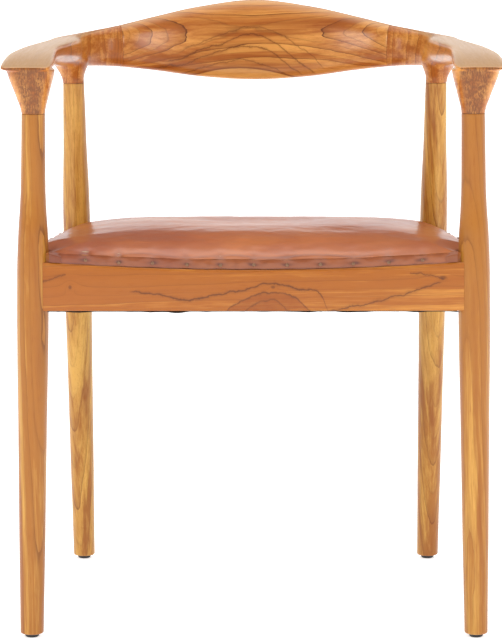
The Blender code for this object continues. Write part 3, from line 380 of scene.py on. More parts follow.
def eased(obj):
    """Eases the sharp edges at the joints of a piece of wood."""
    ease = obj.modifiers.new("eased joints", "BEVEL")
    ease.width = JOINT_EASE
    ease.segments = 2
    ease.limit_method = "ANGLE"
    ease.angle_limit = JOINT_ANGLE
    return baked(obj)


def coordinates(mesh):
    """The places of a mesh's points, as an array."""
    return np.array([v.co[:] for v in mesh.vertices])


def add_object(name, mesh):
    obj = bpy.data.objects.new(name, mesh)
    bpy.context.scene.collection.objects.link(obj)
    return obj


def flipped(mesh):
    """The mirror image of a mesh across the chair's middle."""
    twin = mesh.copy()
    twin.transform(Matrix.Scale(-1, 4, (1, 0, 0)))
    twin.flip_normals()
    return twin


def finish_piece(obj, material, slot, *nodes, sharp=40):
    """Gives a piece its material and smooth faces, and seats it in the frame."""
    obj.data.materials.clear()
    obj.data.materials.append(material)
    obj.data.shade_smooth()
    obj.data.set_sharp_from_angle(angle=math.radians(sharp))
    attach(obj, BODY)
    if nodes:
        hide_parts(*nodes)
    return obj


# Shader building

def set_inputs(node, inputs):
    """Links or sets the sockets of a node."""
    for socket, value in inputs.items():
        if isinstance(value, bpy.types.NodeSocket):
            node.id_data.links.new(value, node.inputs[socket])
        else:
            node.inputs[socket].default_value = value


def add_node(tree, kind, inputs=None, stops=None, **settings):
    """Adds a node with its settings, its sockets' values or links and a ramp's stops; gives its outputs."""
    node = tree.nodes.new(kind)
    for key, value in settings.items():
        setattr(node, key, value)
    set_inputs(node, inputs or {})
    if stops:
        ramp = node.color_ramp
        while len(ramp.elements) < len(stops):
            ramp.elements.new(0.5)
        for element, (position, value) in zip(ramp.elements, stops):
            element.position = position
            element.color = (value, value, value, 1)
    return node.outputs


def new_material(name):
    """An empty material, its shader, and the call that adds a node to its tree."""
    material = bpy.data.materials.new(name)
    material.use_nodes = True
    tree = material.node_tree
    return material, tree.nodes["Principled BSDF"], partial(add_node, tree)


GRAIN_TURNS = {"X": (0.0, -math.pi / 2, 0.0), "Y": (math.pi / 2, 0.0, 0.0), "Z": (0.0, 0.0, 0.0)}
# Shares of a growth ring's width, and of the late wood's darkness there
LATE_WOOD_SHARES = ((0.0, 0.40), (0.04, 0.0), (0.62, 0.04), (0.91, 0.30), (0.97, 1.0))
# Waves to the metre of the wood's patterns, across the grain
SWAY_SCALE = 22              # the grain sways over 45 mm
RIPPLE_SCALE = 140           # and ripples over 7 mm
TONE_SCALE = 9               # the tone drifts over 110 mm
BAND_SCALE = 70              # bands and streaks, 14 mm
FIBRE_SCALE = 420            # bundles of fibres, 2.4 mm
PORE_SCALE = 1500            # pores, 0.7 mm
SPECK_SCALE = 640            # specks of end grain, 1.6 mm
STRAY_SCALE = 75             # a vein strays over 13 mm
VEIN_JITTER = 0.0100         # and by this much
# The same for the leather
CLOUD_SCALE = 9              # cloudy colour, 110 mm
MOTTLE_SCALE = 60            # mottling, 17 mm
PEBBLE_SCALE = 500           # pebbles of about 1.2 mm would not show, so they are drawn at 2 mm


def teak(name, grain, pith=(0.0, 0.0), tilt=(0.0, 0.0), pitch=0.0065, tone=0.0, figure=0.6, streaks=0.35,
         wander=0.012, seed=0.0, end_dark=0.5, end_zone=9.0, painted_sheen=None, knots=(), lines=(), sapwood=None,
         board="teak"):
    """Oiled teak, sawn or turned, then rubbed with wax: brown late-wood lines, mineral streaks, open pores.

    grain is the axis that the fibres follow, and pith the heart's place across it. A knot is its centre, its
    radius, how much longer it is along the grain, and how strongly the rings bend round it. A line is a dark
    vein drawn from (x, z) points over a front face, with its half thickness, its strength, and the strength
    of the stain below it. board names the pair of colours that the piece's board has. Each layer of colour is
    laid over those before it, through a mask of its own.
    """
    colours = bpy.context.scene.chair_colours
    material, shader, add = new_material(name)
    place = add("ShaderNodeTexCoord")["Object"]
    turn = GRAIN_TURNS[grain]
    along = add("ShaderNodeMapping", {
        "Vector": place, "Location": (-pith[0], -pith[1], seed),
        "Rotation": (turn[0] + tilt[0], turn[1] + tilt[1], turn[2])})[0]
    broad = add("ShaderNodeMapping", {"Vector": along, "Scale": (1, 1, 0.16)})[0]
    sway = add("ShaderNodeTexNoise", {"Vector": broad, "Scale": SWAY_SCALE, "Detail": 2.0})["Color"]
    warped = add("ShaderNodeVectorMath", {0: sway, 1: (wander, wander, 0), 2: along},
                 operation="MULTIPLY_ADD")[0]
    ripple = add("ShaderNodeTexNoise", {"Vector": broad, "Scale": RIPPLE_SCALE, "Detail": 2.0})["Color"]
    warped = add("ShaderNodeVectorMath", {0: ripple, 1: (0.0016, 0.0016, 0), 2: warped},
                 operation="MULTIPLY_ADD")[0]
    warped_place = add("ShaderNodeVectorMath", {0: sway, 1: (0, 0, wander / 3), 2: place},
                       operation="MULTIPLY_ADD")[0]

    # Growth rings about the heart, bent round the knots
    across = add("ShaderNodeVectorMath", {0: warped, 1: (1, 1, 0)}, operation="MULTIPLY")[0]
    reach = add("ShaderNodeVectorMath", {0: across}, operation="LENGTH")["Value"]
    phase = add("ShaderNodeMath", {0: reach, 1: pitch}, operation="DIVIDE")[0]
    dark_spots = 0.0
    for centre, radius, stretch, pull in knots:
        size = [radius] * 3
        size["XYZ".index(grain)] = radius * stretch
        gap = add("ShaderNodeVectorMath", {0: place, 1: centre}, operation="SUBTRACT")[0]
        gap = add("ShaderNodeVectorMath", {0: gap, 1: tuple(size)}, operation="DIVIDE")[0]
        gap = add("ShaderNodeVectorMath", {0: gap}, operation="LENGTH")["Value"]
        bend = add("ShaderNodeMath", {0: gap, 1: gap, 2: 1.0}, operation="MULTIPLY_ADD")[0]
        bend = add("ShaderNodeMath", {0: pull, 1: bend}, operation="DIVIDE")[0]
        phase = add("ShaderNodeMath", {0: phase, 1: bend}, operation="ADD")[0]
        spot = add("ShaderNodeMapRange", {0: gap, 1: 0.25, 2: 0.9, 3: 1.0, 4: 0.0},
                   interpolation_type="SMOOTHSTEP")[0]
        dark_spots = add("ShaderNodeMath", {0: dark_spots, 1: spot}, operation="MAXIMUM")[0]
    saw = add("ShaderNodeMath", {0: phase}, operation="FRACT")[0]
    late = add("ShaderNodeValToRGB", {"Fac": saw}, stops=LATE_WOOD_SHARES)[0]
    number = add("ShaderNodeMath", {0: phase}, operation="FLOOR")[0]
    chance = add("ShaderNodeTexWhiteNoise", {"W": number}, noise_dimensions="1D")["Value"]
    strength = add("ShaderNodeMapRange", {0: chance, 1: 0.35, 2: 0.95, 3: 0.30, 4: 1.25})[0]
    late = add("ShaderNodeMath", {0: late, 1: strength}, operation="MULTIPLY")[0]
    late = add("ShaderNodeMath", {0: late, 1: figure}, operation="MULTIPLY", use_clamp=True)[0]

    # Fibres, streaks and pores, drawn out along the grain
    drawn_out = add("ShaderNodeMapping", {"Vector": warped, "Scale": (1, 1, 0.03)})[0]
    fibre = add("ShaderNodeTexNoise", {"Vector": drawn_out, "Scale": FIBRE_SCALE, "Detail": 4.0,
                                       "Roughness": 0.6})["Fac"]
    band = add("ShaderNodeTexNoise", {"Vector": drawn_out, "Scale": BAND_SCALE, "Detail": 3.0,
                                      "Roughness": 0.55})["Fac"]
    streak = add("ShaderNodeMapRange", {0: band, 1: 0.53, 2: 0.72, 3: 0.0, 4: 1.0},
                 interpolation_type="SMOOTHSTEP")[0]
    pore = add("ShaderNodeMapping", {"Vector": along, "Scale": (1, 1, 0.035)})[0]
    pore = add("ShaderNodeTexNoise", {"Vector": pore, "Scale": PORE_SCALE, "Detail": 1.0})["Fac"]
    pore = add("ShaderNodeMapRange", {0: pore, 1: 0.60, 2: 0.70})[0]
    tone_noise = add("ShaderNodeTexNoise", {"Vector": broad, "Scale": TONE_SCALE, "Detail": 2.0})["Fac"]
    shade = add("ShaderNodeMapRange", {0: fibre, 1: 0.25, 2: 0.75, 3: 0.0, 4: 0.7})[0]
    for part, weight in ((band, 2.6), (tone_noise, 1.6), (chance, 0.5)):
        shade = add("ShaderNodeMath", {0: part, 1: weight, 2: shade}, operation="MULTIPLY_ADD")[0]
    shade = add("ShaderNodeMath", {0: shade, 1: tone - 2.20}, operation="ADD", use_clamp=True)[0]
    layers = [(shade, getattr(colours, f"{board}_mid")), (late, colours.teak_line)]

    if sapwood:
        # A wedge of pale sapwood under a dark line, along the lower edge
        middle, level, curve = sapwood
        spot = add("ShaderNodeSeparateXYZ", {0: warped_place})
        gap = add("ShaderNodeMath", {0: spot["X"], 1: middle}, operation="SUBTRACT")[0]
        bow = add("ShaderNodeMath", {0: gap, 1: gap}, operation="MULTIPLY")[0]
        rise = add("ShaderNodeMath", {0: bow, 1: curve, 2: spot["Z"]}, operation="MULTIPLY_ADD")[0]
        edge = add("ShaderNodeMapRange", {0: rise, 1: level + 0.0006, 2: level - 0.0006})[0]
        line = add("ShaderNodeMapRange", {0: rise, 1: level + 0.0042, 2: level + 0.0004, 3: 0.0, 4: 0.8},
                   interpolation_type="SMOOTHSTEP")[0]
        layers += [(line, colours.teak_line), (edge, colours.teak_sap)]
    mark = add("ShaderNodeMath", {0: streak, 1: streaks}, operation="MULTIPLY")[0]
    layers.append((mark, colours.teak_dark))
    for line in lines:
        layers += vein(add, warped_place, *line)
    if knots:
        mark = add("ShaderNodeMath", {0: dark_spots, 1: 0.60}, operation="MULTIPLY")[0]
        layers.append((mark, colours.teak_streak))
    mark = add("ShaderNodeMath", {0: pore, 1: 0.30}, operation="MULTIPLY")[0]
    layers.append((mark, colours.teak_dark))
    normal = add("ShaderNodeNewGeometry")["Normal"]
    normal = add("ShaderNodeSeparateXYZ", {0: normal})
    if painted_sheen:
        # Painted sheen: the top, where it faces up, is laid pale and even, standing in for its reflection of
        # the bright studio
        strength, (near, far), (flank, crown) = painted_sheen
        zone = add("ShaderNodeSeparateXYZ", {0: place})[grain]
        zone = add("ShaderNodeMapRange", {0: zone, 1: near, 2: far, 3: strength, 4: 0.0})[0]
        top = add("ShaderNodeMapRange", {0: normal["Z"], 1: flank, 2: crown},
                  interpolation_type="SMOOTHSTEP")[0]
        top = add("ShaderNodeMath", {0: top, 1: zone}, operation="MULTIPLY")[0]
        layers.append((top, colours.teak_painted_sheen))

    # End grain drinks more oil and looks darker
    reach = add("ShaderNodeSeparateXYZ", {0: place})[grain]
    reach = add("ShaderNodeMapRange", {0: reach, 1: end_zone + 0.006, 2: end_zone})[0]
    facing = add("ShaderNodeMath", {0: normal[grain]}, operation="ABSOLUTE")[0]
    speck = add("ShaderNodeMapping", {"Vector": place, "Scale": (1, 1, 0.20)})[0]
    speck = add("ShaderNodeTexNoise", {"Vector": speck, "Scale": SPECK_SCALE, "Detail": 3.0,
                                       "Roughness": 0.65})["Fac"]
    speck = add("ShaderNodeMapRange", {0: speck, 1: 0.34, 2: 0.66, 3: 0.35, 4: 1.30})[0]
    speck = add("ShaderNodeMath", {0: speck, 1: reach}, operation="MULTIPLY")[0]
    facing = add("ShaderNodeMapRange", {0: facing, 1: 0.60, 2: 0.90, 3: 0.0, 4: end_dark},
                 interpolation_type="SMOOTHSTEP")[0]
    facing = add("ShaderNodeMath", {0: facing, 1: speck}, operation="MULTIPLY", use_clamp=True)[0]
    layers.append((facing, colours.teak_end))

    body = (*getattr(colours, f"{board}_light"), 1)
    for mask, hue in layers:
        body = add("ShaderNodeMix", {0: mask, 6: body, 7: (*hue, 1)}, data_type="RGBA")[2]
    gloss = add("ShaderNodeMapRange", {0: fibre, 1: 0.3, 2: 0.7, 3: 0.30, 4: 0.42})[0]
    relief = add("ShaderNodeMath", {0: pore, 1: -0.8, 2: fibre}, operation="MULTIPLY_ADD")[0]
    bump = add("ShaderNodeBump", {"Height": relief, "Strength": 0.25, "Distance": 0.0003})[0]
    set_inputs(shader, {"Base Color": body, "Roughness": gloss, "Normal": bump, "IOR": 1.46,
                        "Specular IOR Level": 0.24, "Coat Weight": 0.32, "Coat Roughness": 0.16})
    return material


def vein(add, place, points, thickness, strength, stain):
    """The layers that draw one dark vein of a board's figure over its face and stain the wood below it."""
    colours = bpy.context.scene.chair_colours
    start, end = points[0][0], points[-1][0]
    low = min(z for _, z in points)
    high = max(z for _, z in points)
    spot = add("ShaderNodeSeparateXYZ", {0: place})
    along = add("ShaderNodeMapRange", {0: spot["X"], 1: start, 2: end}, clamp=False)[0]
    curve = add("ShaderNodeValToRGB", {"Fac": along},
                stops=[((x - start) / (end - start), (z - low) / (high - low)) for x, z in points])[0]
    curve.node.color_ramp.interpolation = "CARDINAL"
    level = add("ShaderNodeMath", {0: curve, 1: high - low, 2: low}, operation="MULTIPLY_ADD")[0]
    jitter = add("ShaderNodeTexNoise", {"Vector": place, "Scale": STRAY_SCALE, "Detail": 5.0,
                                        "Roughness": 0.62})["Fac"]
    gap = add("ShaderNodeMath", {0: spot["Z"], 1: level}, operation="SUBTRACT")[0]
    gap = add("ShaderNodeMath", {0: jitter, 1: VEIN_JITTER, 2: gap}, operation="MULTIPLY_ADD")[0]
    gap = add("ShaderNodeMath", {0: gap, 1: VEIN_JITTER / 2}, operation="SUBTRACT")[0]
    inside = add("ShaderNodeMath", {0: along, 1: 0.5}, operation="SUBTRACT")[0]
    inside = add("ShaderNodeMath", {0: inside}, operation="ABSOLUTE")[0]
    inside = add("ShaderNodeMapRange", {0: inside, 1: 0.5, 2: 0.46})[0]
    layers = []
    if stain:
        below = add("ShaderNodeMapRange", {0: gap, 1: 0.0008, 2: -0.0008, 3: 0.0, 4: stain})[0]
        mottle = add("ShaderNodeMapRange", {0: jitter, 1: 0.35, 2: 0.65, 3: 0.80, 4: 1.1})[0]
        for factor in (mottle, inside):
            below = add("ShaderNodeMath", {0: below, 1: factor}, operation="MULTIPLY")[0]
        layers.append((below, colours.teak_dark))
    gap = add("ShaderNodeMath", {0: gap}, operation="ABSOLUTE")[0]
    for width, depth in ((thickness * 5, strength * 0.35), (thickness * 1.6, strength)):
        line = add("ShaderNodeMapRange", {0: gap, 1: width, 2: width * 0.15, 3: 0.0, 4: depth},
                   interpolation_type="SMOOTHSTEP")[0]
        line = add("ShaderNodeMath", {0: line, 1: inside}, operation="MULTIPLY")[0]
        layers.append((line, colours.teak_line))
    return layers


def leather_material(name, dark=0.0):
    """Cognac leather, aniline dyed, waxed and glossy with wear: cloudy colour, painted shade in its folds,
    creases and dents, a pebbled grain.
    """
    colours = bpy.context.scene.chair_colours
    material, shader, add = new_material(name)
    place = add("ShaderNodeTexCoord")["Object"]
    cloud = add("ShaderNodeTexNoise", {"Vector": place, "Scale": CLOUD_SCALE, "Detail": 3.0})["Fac"]
    cloud = add("ShaderNodeMapRange", {0: cloud, 1: 0.35, 2: 0.68})[0]
    fine = add("ShaderNodeTexNoise", {"Vector": place, "Scale": MOTTLE_SCALE, "Detail": 5.0})["Fac"]
    shade = add("ShaderNodeMapRange", {0: fine, 1: 0.35, 2: 0.75, 3: dark + 0.12, 4: dark})[0]
    # Painted shade: darkens the leather by the amount stored on each point, in folds, creases, tack dents and
    # along the strip's edges
    fold_shade = add("ShaderNodeAttribute", attribute_name="fold_shade")["Fac"]
    fold_shade = add("ShaderNodeMath", {0: fold_shade, 1: 0.75}, operation="MULTIPLY", use_clamp=True)[0]
    body = (*colours.leather, 1)
    for mask, hue in ((cloud, colours.leather_warm), (shade, colours.leather_dark),
                      (fold_shade, colours.leather_dark)):
        body = add("ShaderNodeMix", {0: mask, 6: body, 7: (*hue, 1)}, data_type="RGBA")[2]
    pebble = add("ShaderNodeTexVoronoi", {"Vector": place, "Scale": PEBBLE_SCALE}, feature="SMOOTH_F1")[0]
    relief = add("ShaderNodeMath", {0: fine, 1: 3.0, 2: pebble}, operation="MULTIPLY_ADD")[0]
    bump = add("ShaderNodeBump", {"Height": relief, "Strength": 0.14, "Distance": 0.0003})[0]
    gloss = add("ShaderNodeMapRange", {0: fine, 1: 0.3, 2: 0.7, 3: 0.33, 4: 0.43})[0]
    set_inputs(shader, {"Base Color": body, "Normal": bump, "Roughness": gloss, "IOR": 1.5,
                        "Specular IOR Level": 0.35, "Coat Weight": 0.35, "Coat Roughness": 0.14})
    return material


def plain_finish(name, base, roughness, scale, strength, metallic=0.0):
    """A finish of one colour, broken up by a noise that also gives its surface relief."""
    material, shader, add = new_material(name)
    place = add("ShaderNodeTexCoord")["Object"]
    grit = add("ShaderNodeTexNoise", {"Vector": place, "Scale": scale, "Detail": 4.0})["Fac"]
    tint = add("ShaderNodeMapRange", {0: grit, 1: 0.3, 2: 0.7, 3: 0.35, 4: 0.0})[0]
    body = add("ShaderNodeMix", {0: tint, 6: (*base, 1), 7: (*[c * 0.35 for c in base], 1)},
               data_type="RGBA")[2]
    bump = add("ShaderNodeBump", {"Height": grit, "Strength": strength, "Distance": 0.0004})[0]
    gloss = add("ShaderNodeMapRange", {0: grit, 1: 0.3, 2: 0.7, 3: roughness - 0.06, 4: roughness + 0.06})[0]
    set_inputs(shader, {"Base Color": body, "Normal": bump, "Roughness": gloss, "Metallic": metallic})
    return material


def woven(name, base, spacing):
    """A plain weave of yarns at a real spacing, over and under by turns."""
    material, shader, add = new_material(name)
    place = add("ShaderNodeTexCoord")["Object"]
    wave = {"Vector": place, "Scale": math.pi / (10 * spacing), "Distortion": 0.6, "Detail Scale": 2.0}
    warp, weft = [add("ShaderNodeTexWave", wave, bands_direction=axis)["Fac"] for axis in ("X", "Y")]
    weave = add("ShaderNodeMath", {0: warp, 1: weft}, operation="MULTIPLY")[0]
    body = add("ShaderNodeMix", {0: weave, 6: (*[c * 0.45 for c in base], 1), 7: (*base, 1)},
               data_type="RGBA")[2]
    bump = add("ShaderNodeBump", {"Height": weave, "Strength": 0.6, "Distance": spacing * 0.3})[0]
    set_inputs(shader, {"Base Color": body, "Normal": bump, "Roughness": 0.9, "Sheen Weight": 0.2})
    return material


# Arms and crest rail

def rail_stations():
    """Every station of the right half: x, y, width, top, height, lean, upper part, upper and lower power."""
    sizes = bpy.context.scene.chair_sizes
    stations = []
    for depth, inward, width, rise, height, upper, square_up, square_down in ARM_STATION_SHARES:
        run = ARM_OVERHANG if depth < 0 else BACK_TOP.y - FRONT_Y
        stations.append((mix(FRONT_TOP.x, BACK_TOP.x, inward) + ARM_SET_OUT, FRONT_Y + depth * run,
                         width * sizes.arm_width, mix(ARM_TOP_Z, BACK_ARM_TOP_Z, rise),
                         height * sizes.arm_height, 0.0, upper, square_up, square_down))
    for depth, across, width, rise, height, lean, upper, square_up, square_down in BEND_STATION_SHARES:
        stations.append(((BACK_TOP.x + ARM_SET_OUT) * across, mix(BACK_TOP.y, CREST_Y, depth),
                         mix(BACK_ARM_WIDTH, sizes.crest_thickness, width),
                         mix(BACK_ARM_TOP_Z, CREST_TOP_Z, rise),
                         mix(BACK_ARM_HEIGHT, sizes.crest_height, height), CREST_LEAN * lean, upper,
                         square_up, square_down))
    return stations


def rail_tangent(stations, place):
    if place >= len(stations) - 1:
        return Vector((-1, 0, 0))
    before = through(stations, max(place - TANGENT_SHARE, 0), True)
    after = through(stations, min(place + TANGENT_SHARE, len(stations) - 1), True)
    return Vector((after[0] - before[0], after[1] - before[1], 0)).normalized()


def signed_power(value, exponent):
    return math.copysign(abs(value) ** exponent, value)


def rail_ring(station, tangent):
    """The points of one section, upright and square to the rail's run in plan."""
    x, y, width, top, height, lean, upper, square_up, square_down = station
    outward = Vector((tangent.y, -tangent.x, 0))
    up = Vector((0, 0, 1))
    across_axis = outward * math.cos(lean) - up * math.sin(lean)
    up_axis = up * math.cos(lean) + outward * math.sin(lean)
    high = height * upper
    centre = Vector((x, y, top - high * math.cos(lean)))
    points = []
    for angle in turns(RING_POINTS):
        rise = math.sin(angle)
        square = square_up if rise > 0 else square_down
        reach = high if rise > 0 else height - high
        points.append(centre + across_axis * (width / 2 * signed_power(math.cos(angle), 2 / square))
                      + up_axis * (reach * signed_power(rise, 2 / square)))
    return points


def rail_rings(first, last, first_shift, last_shift):
    stations = rail_stations()
    count = (last - first) * STATION_STEPS
    rings = []
    for step in range(count + 1):
        place = first + step / STATION_STEPS
        station = through(stations, place, True)
        tangent = rail_tangent(stations, place)
        shift = first_shift if step == 0 else last_shift if step == count else 0.0
        station[0] += tangent.x * shift
        station[1] += tangent.y * shift
        rings.append(rail_ring(station, tangent))
    return rings


def joint_plane():
    """A point on the joint between arm and crest rail, and the direction of the run there."""
    stations = rail_stations()
    x, y, _, top, height = stations[JOINT_STATION][:5]
    return Vector((x, y, top - height / 2)), rail_tangent(stations, JOINT_STATION)


def cap_rings(sizes):
    """The funnel under the arm's paddle, round at the leg and squarer where it meets the paddle."""
    leg = FRONT_LEG
    base = leg.joint_z + FIT
    rings = []
    heights = [base - CARVING_OVERRUN] + [base + CAP_HEIGHT * i / CAP_STEPS for i in range(CAP_STEPS + 1)]
    for height in heights:
        flare = value_at(CAP_SHARES, max(0.0, (height - base) / CAP_HEIGHT))
        power = 2 / mix(2.0, CAP_SQUARE, flare)
        half_width = mix(leg.top_r, sizes.cap_half_width, flare)
        half_depth = mix(leg.top_r, sizes.cap_half_depth, flare)
        centre = leg.axis(height)
        centre.x += CAP_SET_OUT * flare
        rings.append([(centre.x + half_width * signed_power(math.cos(angle), power),
                       centre.y + half_depth * signed_power(math.sin(angle), power), height)
                      for angle in turns(RING_POINTS)])
    return rings


def knuckle_rings():
    """The knuckle under the arm's bend: it swells from the leg's roundness and domes over inside the arm."""
    leg = BACK_LEG
    base = leg.joint_z + FIT
    profile = [(leg.top_r, base - CARVING_OVERRUN)]
    for i in range(KNUCKLE_STEPS * (len(KNUCKLE_SHARES) - 1) + 1):
        height_share, flare_share = through(KNUCKLE_SHARES, i / KNUCKLE_STEPS)
        profile.append((leg.top_r + KNUCKLE_FLARE * flare_share, base + KNUCKLE_HEIGHT * height_share))
    rings = []
    for radius, height in profile:
        centre = leg.axis(min(height, leg.joint_z))
        centre.x += KNUCKLE_SET_OUT * min(1.0, max(0.0, (height - base) / KNUCKLE_HEIGHT))
        rings.append(circle(centre, radius, height, RING_POINTS))
    return rings


def cut_flat(bm, geometry, point, normal):
    """Cuts away what lies past a plane and closes the cut."""
    result = bmesh.ops.bisect_plane(bm, geom=geometry, dist=MERGE, plane_co=point, plane_no=normal,
                                    clear_outer=True)
    bmesh.ops.contextual_create(bm, geom=[e for e in result["geom_cut"] if isinstance(e, bmesh.types.BMEdge)])


class OBJECT_OT_chair_arms(bpy.types.Operator):
    """Carve both arms, each with its cap, its knuckle and its flat joints"""
    bl_idname = "object.chair_arms"
    bl_label = "Arms"

    def execute(self, context):
        sizes = context.scene.chair_sizes
        name = "right_arm_carved"
        rings = rail_rings(0, JOINT_STATION, 0.0, CARVING_OVERRUN)
        obj = add_object(name, lofted(name, rings, cap_rings(sizes), knuckle_rings()))
        remesh = obj.modifiers.new("one skin", "REMESH")
        remesh.mode = "VOXEL"
        remesh.voxel_size = sizes.carving_voxel
        baked(obj)
        soft = obj.vertex_groups.new(name="blend")
        for vertex in obj.data.vertices:
            spot = Vector((vertex.co.x, vertex.co.y)) - BACK_LEG.axis(BACK_JOINT_Z)
            near = max(0.0, 1 - spot.length / BLEND_REACH)
            below_top = (BACK_ARM_TOP_Z - BLEND_TOP_GAP - vertex.co.z) / BLEND_TOP_FADE
            above_joint = (vertex.co.z - BACK_JOINT_Z - BLEND_JOINT_GAP) / BLEND_JOINT_FADE
            level = min(1.0, max(0.0, below_top), max(0.0, above_joint))
            soft.add([vertex.index], min(1.0, BLEND_GAIN * near) * level, "REPLACE")
        for label, factor, passes, group in (("scraped", 0.5, SCRAPE_PASSES, ""),
                                             ("blended knuckle", 0.6, BLEND_PASSES, "blend")):
            smooth = obj.modifiers.new(label, "SMOOTH")
            smooth.factor = factor
            smooth.iterations = passes
            smooth.vertex_group = group
        baked(obj)
        bm = bmesh.new()
        bm.from_mesh(obj.data)
        joint, run = joint_plane()
        cut_flat(bm, bm.verts[:] + bm.edges[:] + bm.faces[:], joint - run * FIT / 2, run)
        for leg in (FRONT_LEG, BACK_LEG):
            level = leg.joint_z + FIT
            foot = [v for v in bm.verts if v.co.z < level
                    and (Vector((v.co.x, v.co.y)) - leg.axis(level)).length < NEAR_LEG]
            faces = list({f for v in foot for f in v.link_faces})
            geometry = (faces + list({e for f in faces for e in f.edges})
                        + list({v for f in faces for v in f.verts}))
            cut_flat(bm, geometry, (0, 0, level), (0, 0, -1))
        bm.to_mesh(obj.data)
        bm.free()
        obj.vertex_groups.clear()
        eased(obj)
        left = add_object("left_arm_carved", flipped(obj.data))
        for piece, side, sign, seed in ((obj, "right", 1, 0.31), (left, "left", -1, 1.7)):
            # The arm's up-facing top, towards the back, gets a painted pale sheen
            wood = teak(f"oiled_teak_{side}_arm", "Y", pith=(sign * 0.470, -0.690), tilt=(0.0, sign * 0.04),
                        pitch=0.0038, tone=0.15, figure=0.70, streaks=0.35, seed=seed, end_dark=0.95,
                        end_zone=FRONT_Y + 0.045, painted_sheen=(0.85, (BACK_TOP.y - 0.04, CREST_Y), (0.74, 0.93)))
            finish_piece(piece, wood, "teak", f"{side}_arm")
        return {"FINISHED"}


class OBJECT_OT_chair_crest(bpy.types.Operator):
    """Bend the crest rail between both arms, leaning back and highest in its middle"""
    bl_idname = "object.chair_crest"
    bl_label = "Crest rail"

    def execute(self, context):
        half = rail_rings(JOINT_STATION, len(rail_stations()) - 1, FIT / 2, 0.0)
        other = [[Vector((-point.x, point.y, point.z)) for point in ring] for ring in reversed(half[:-1])]
        obj = eased(add_object("crest_rail_carved", lofted("crest_rail_carved", half + other)))
        # The crest's up-facing top gets a painted pale sheen
        finish_piece(obj, teak("oiled_teak_crest", "X", pith=(-0.738, CREST_Y - 0.094), tilt=(0.03, 0.02),
                               pitch=0.0040, tone=0.22, figure=0.95, streaks=0.50, wander=0.014, seed=0.9,
                               lines=CREST_VEINS, sapwood=(-0.020, 0.6785, 2.5),
                               painted_sheen=(0.50, (1.0, 2.0), (0.30, 0.85))), "teak", "crest_rail")
        return {"FINISHED"}


# The four legs come from different boards: front right, front left, back right, back left. Each has its tone,
# and its heart lies so far from the leg's axis along X and along Y.
LEG_BOARDS = ((0.66, 0.05, 0.06), (0.50, -0.04, 0.06), (0.10, 0.05, -0.05), (0.02, -0.04, -0.05))


class OBJECT_OT_chair_legs(bpy.types.Operator):
    """Turn the four legs, swollen at the seat, and the glides under them"""
    bl_idname = "object.chair_legs"
    bl_label = "Legs and glides"

    def execute(self, context):
        nylon = plain_finish("moulded_black_nylon", context.scene.chair_colours.nylon, 0.42, 900, 0.15)
        boards = iter(enumerate(LEG_BOARDS, 1))
        for end, leg in (("front", FRONT_LEG), ("back", BACK_LEG)):
            profile = []
            for i in range(FOOT_STEPS + 1):
                angle = math.pi / 2 * i / FOOT_STEPS
                profile.append((leg.foot_r - FOOT_ROUND * (1 - math.sin(angle)),
                                GLIDE_TOP + FOOT_ROUND * (1 - math.cos(angle))))
            start = GLIDE_TOP + FOOT_ROUND * 1.5
            for i in range(LEG_STEPS + 1):
                height = mix(start, leg.joint_z - JOINT_ROUND, i / LEG_STEPS)
                profile.append((leg.radius(height), height))
            profile.append((leg.top_r - JOINT_ROUND, leg.joint_z))
            mesh = turned(f"{end}_right_leg_turned", profile, LEG_POINTS, leg)
            glide = glide_mesh(f"{end}_right_glide_moulded", leg)
            heart = leg.axis(SEAT_LEVEL)
            for side, sign, body, foot in (("right", 1, mesh, glide),
                                           ("left", -1, flipped(mesh), flipped(glide))):
                number, (tone, off_x, off_y) = next(boards)
                wood = teak(f"oiled_teak_{end}_{side}_leg", "Z",
                            pith=(sign * heart.x + off_x, heart.y + off_y),
                            tilt=(0.02 * (number - 2.5), 0.03), pitch=0.0060, tone=tone, figure=0.50,
                            streaks=0.50, seed=0.77 * number, board="leg")
                finish_piece(add_object(f"{end}_{side}_leg_turned", body), wood, "teak", f"{end}_{side}_leg")
                finish_piece(add_object(f"{end}_{side}_glide_moulded", foot), nylon, "nylon",
                             f"{end}_{side}_glide")
        return {"FINISHED"}


def glide_mesh(name, leg):
    """A domed nylon glide with a short nail, under the foot."""
    profile = [(GLIDE_POLE, 0.0), (GLIDE_FLAT, 0.0)]
    for i in range(1, GLIDE_STEPS + 1):
        angle = math.pi / 2 * i / GLIDE_STEPS
        profile.append((mix(GLIDE_FLAT, GLIDE_RADIUS, math.sin(angle)),
                        GLIDE_HEIGHT * 0.6 * (1 - math.cos(angle))))
    nail_end = GLIDE_HEIGHT + NAIL_LENGTH
    profile += [(GLIDE_RADIUS, GLIDE_HEIGHT * 0.9), (GLIDE_RADIUS - GLIDE_EDGE, GLIDE_HEIGHT),
                (NAIL_RADIUS, GLIDE_HEIGHT), (NAIL_RADIUS, nail_end), (NAIL_POINT, nail_end + NAIL_TIP)]
    return turned(name, profile, GLIDE_POINTS, leg)


# Seat frame

FRONT_AT_SEAT = FRONT_LEG.axis(SEAT_LEVEL)
BACK_AT_SEAT = BACK_LEG.axis(SEAT_LEVEL)


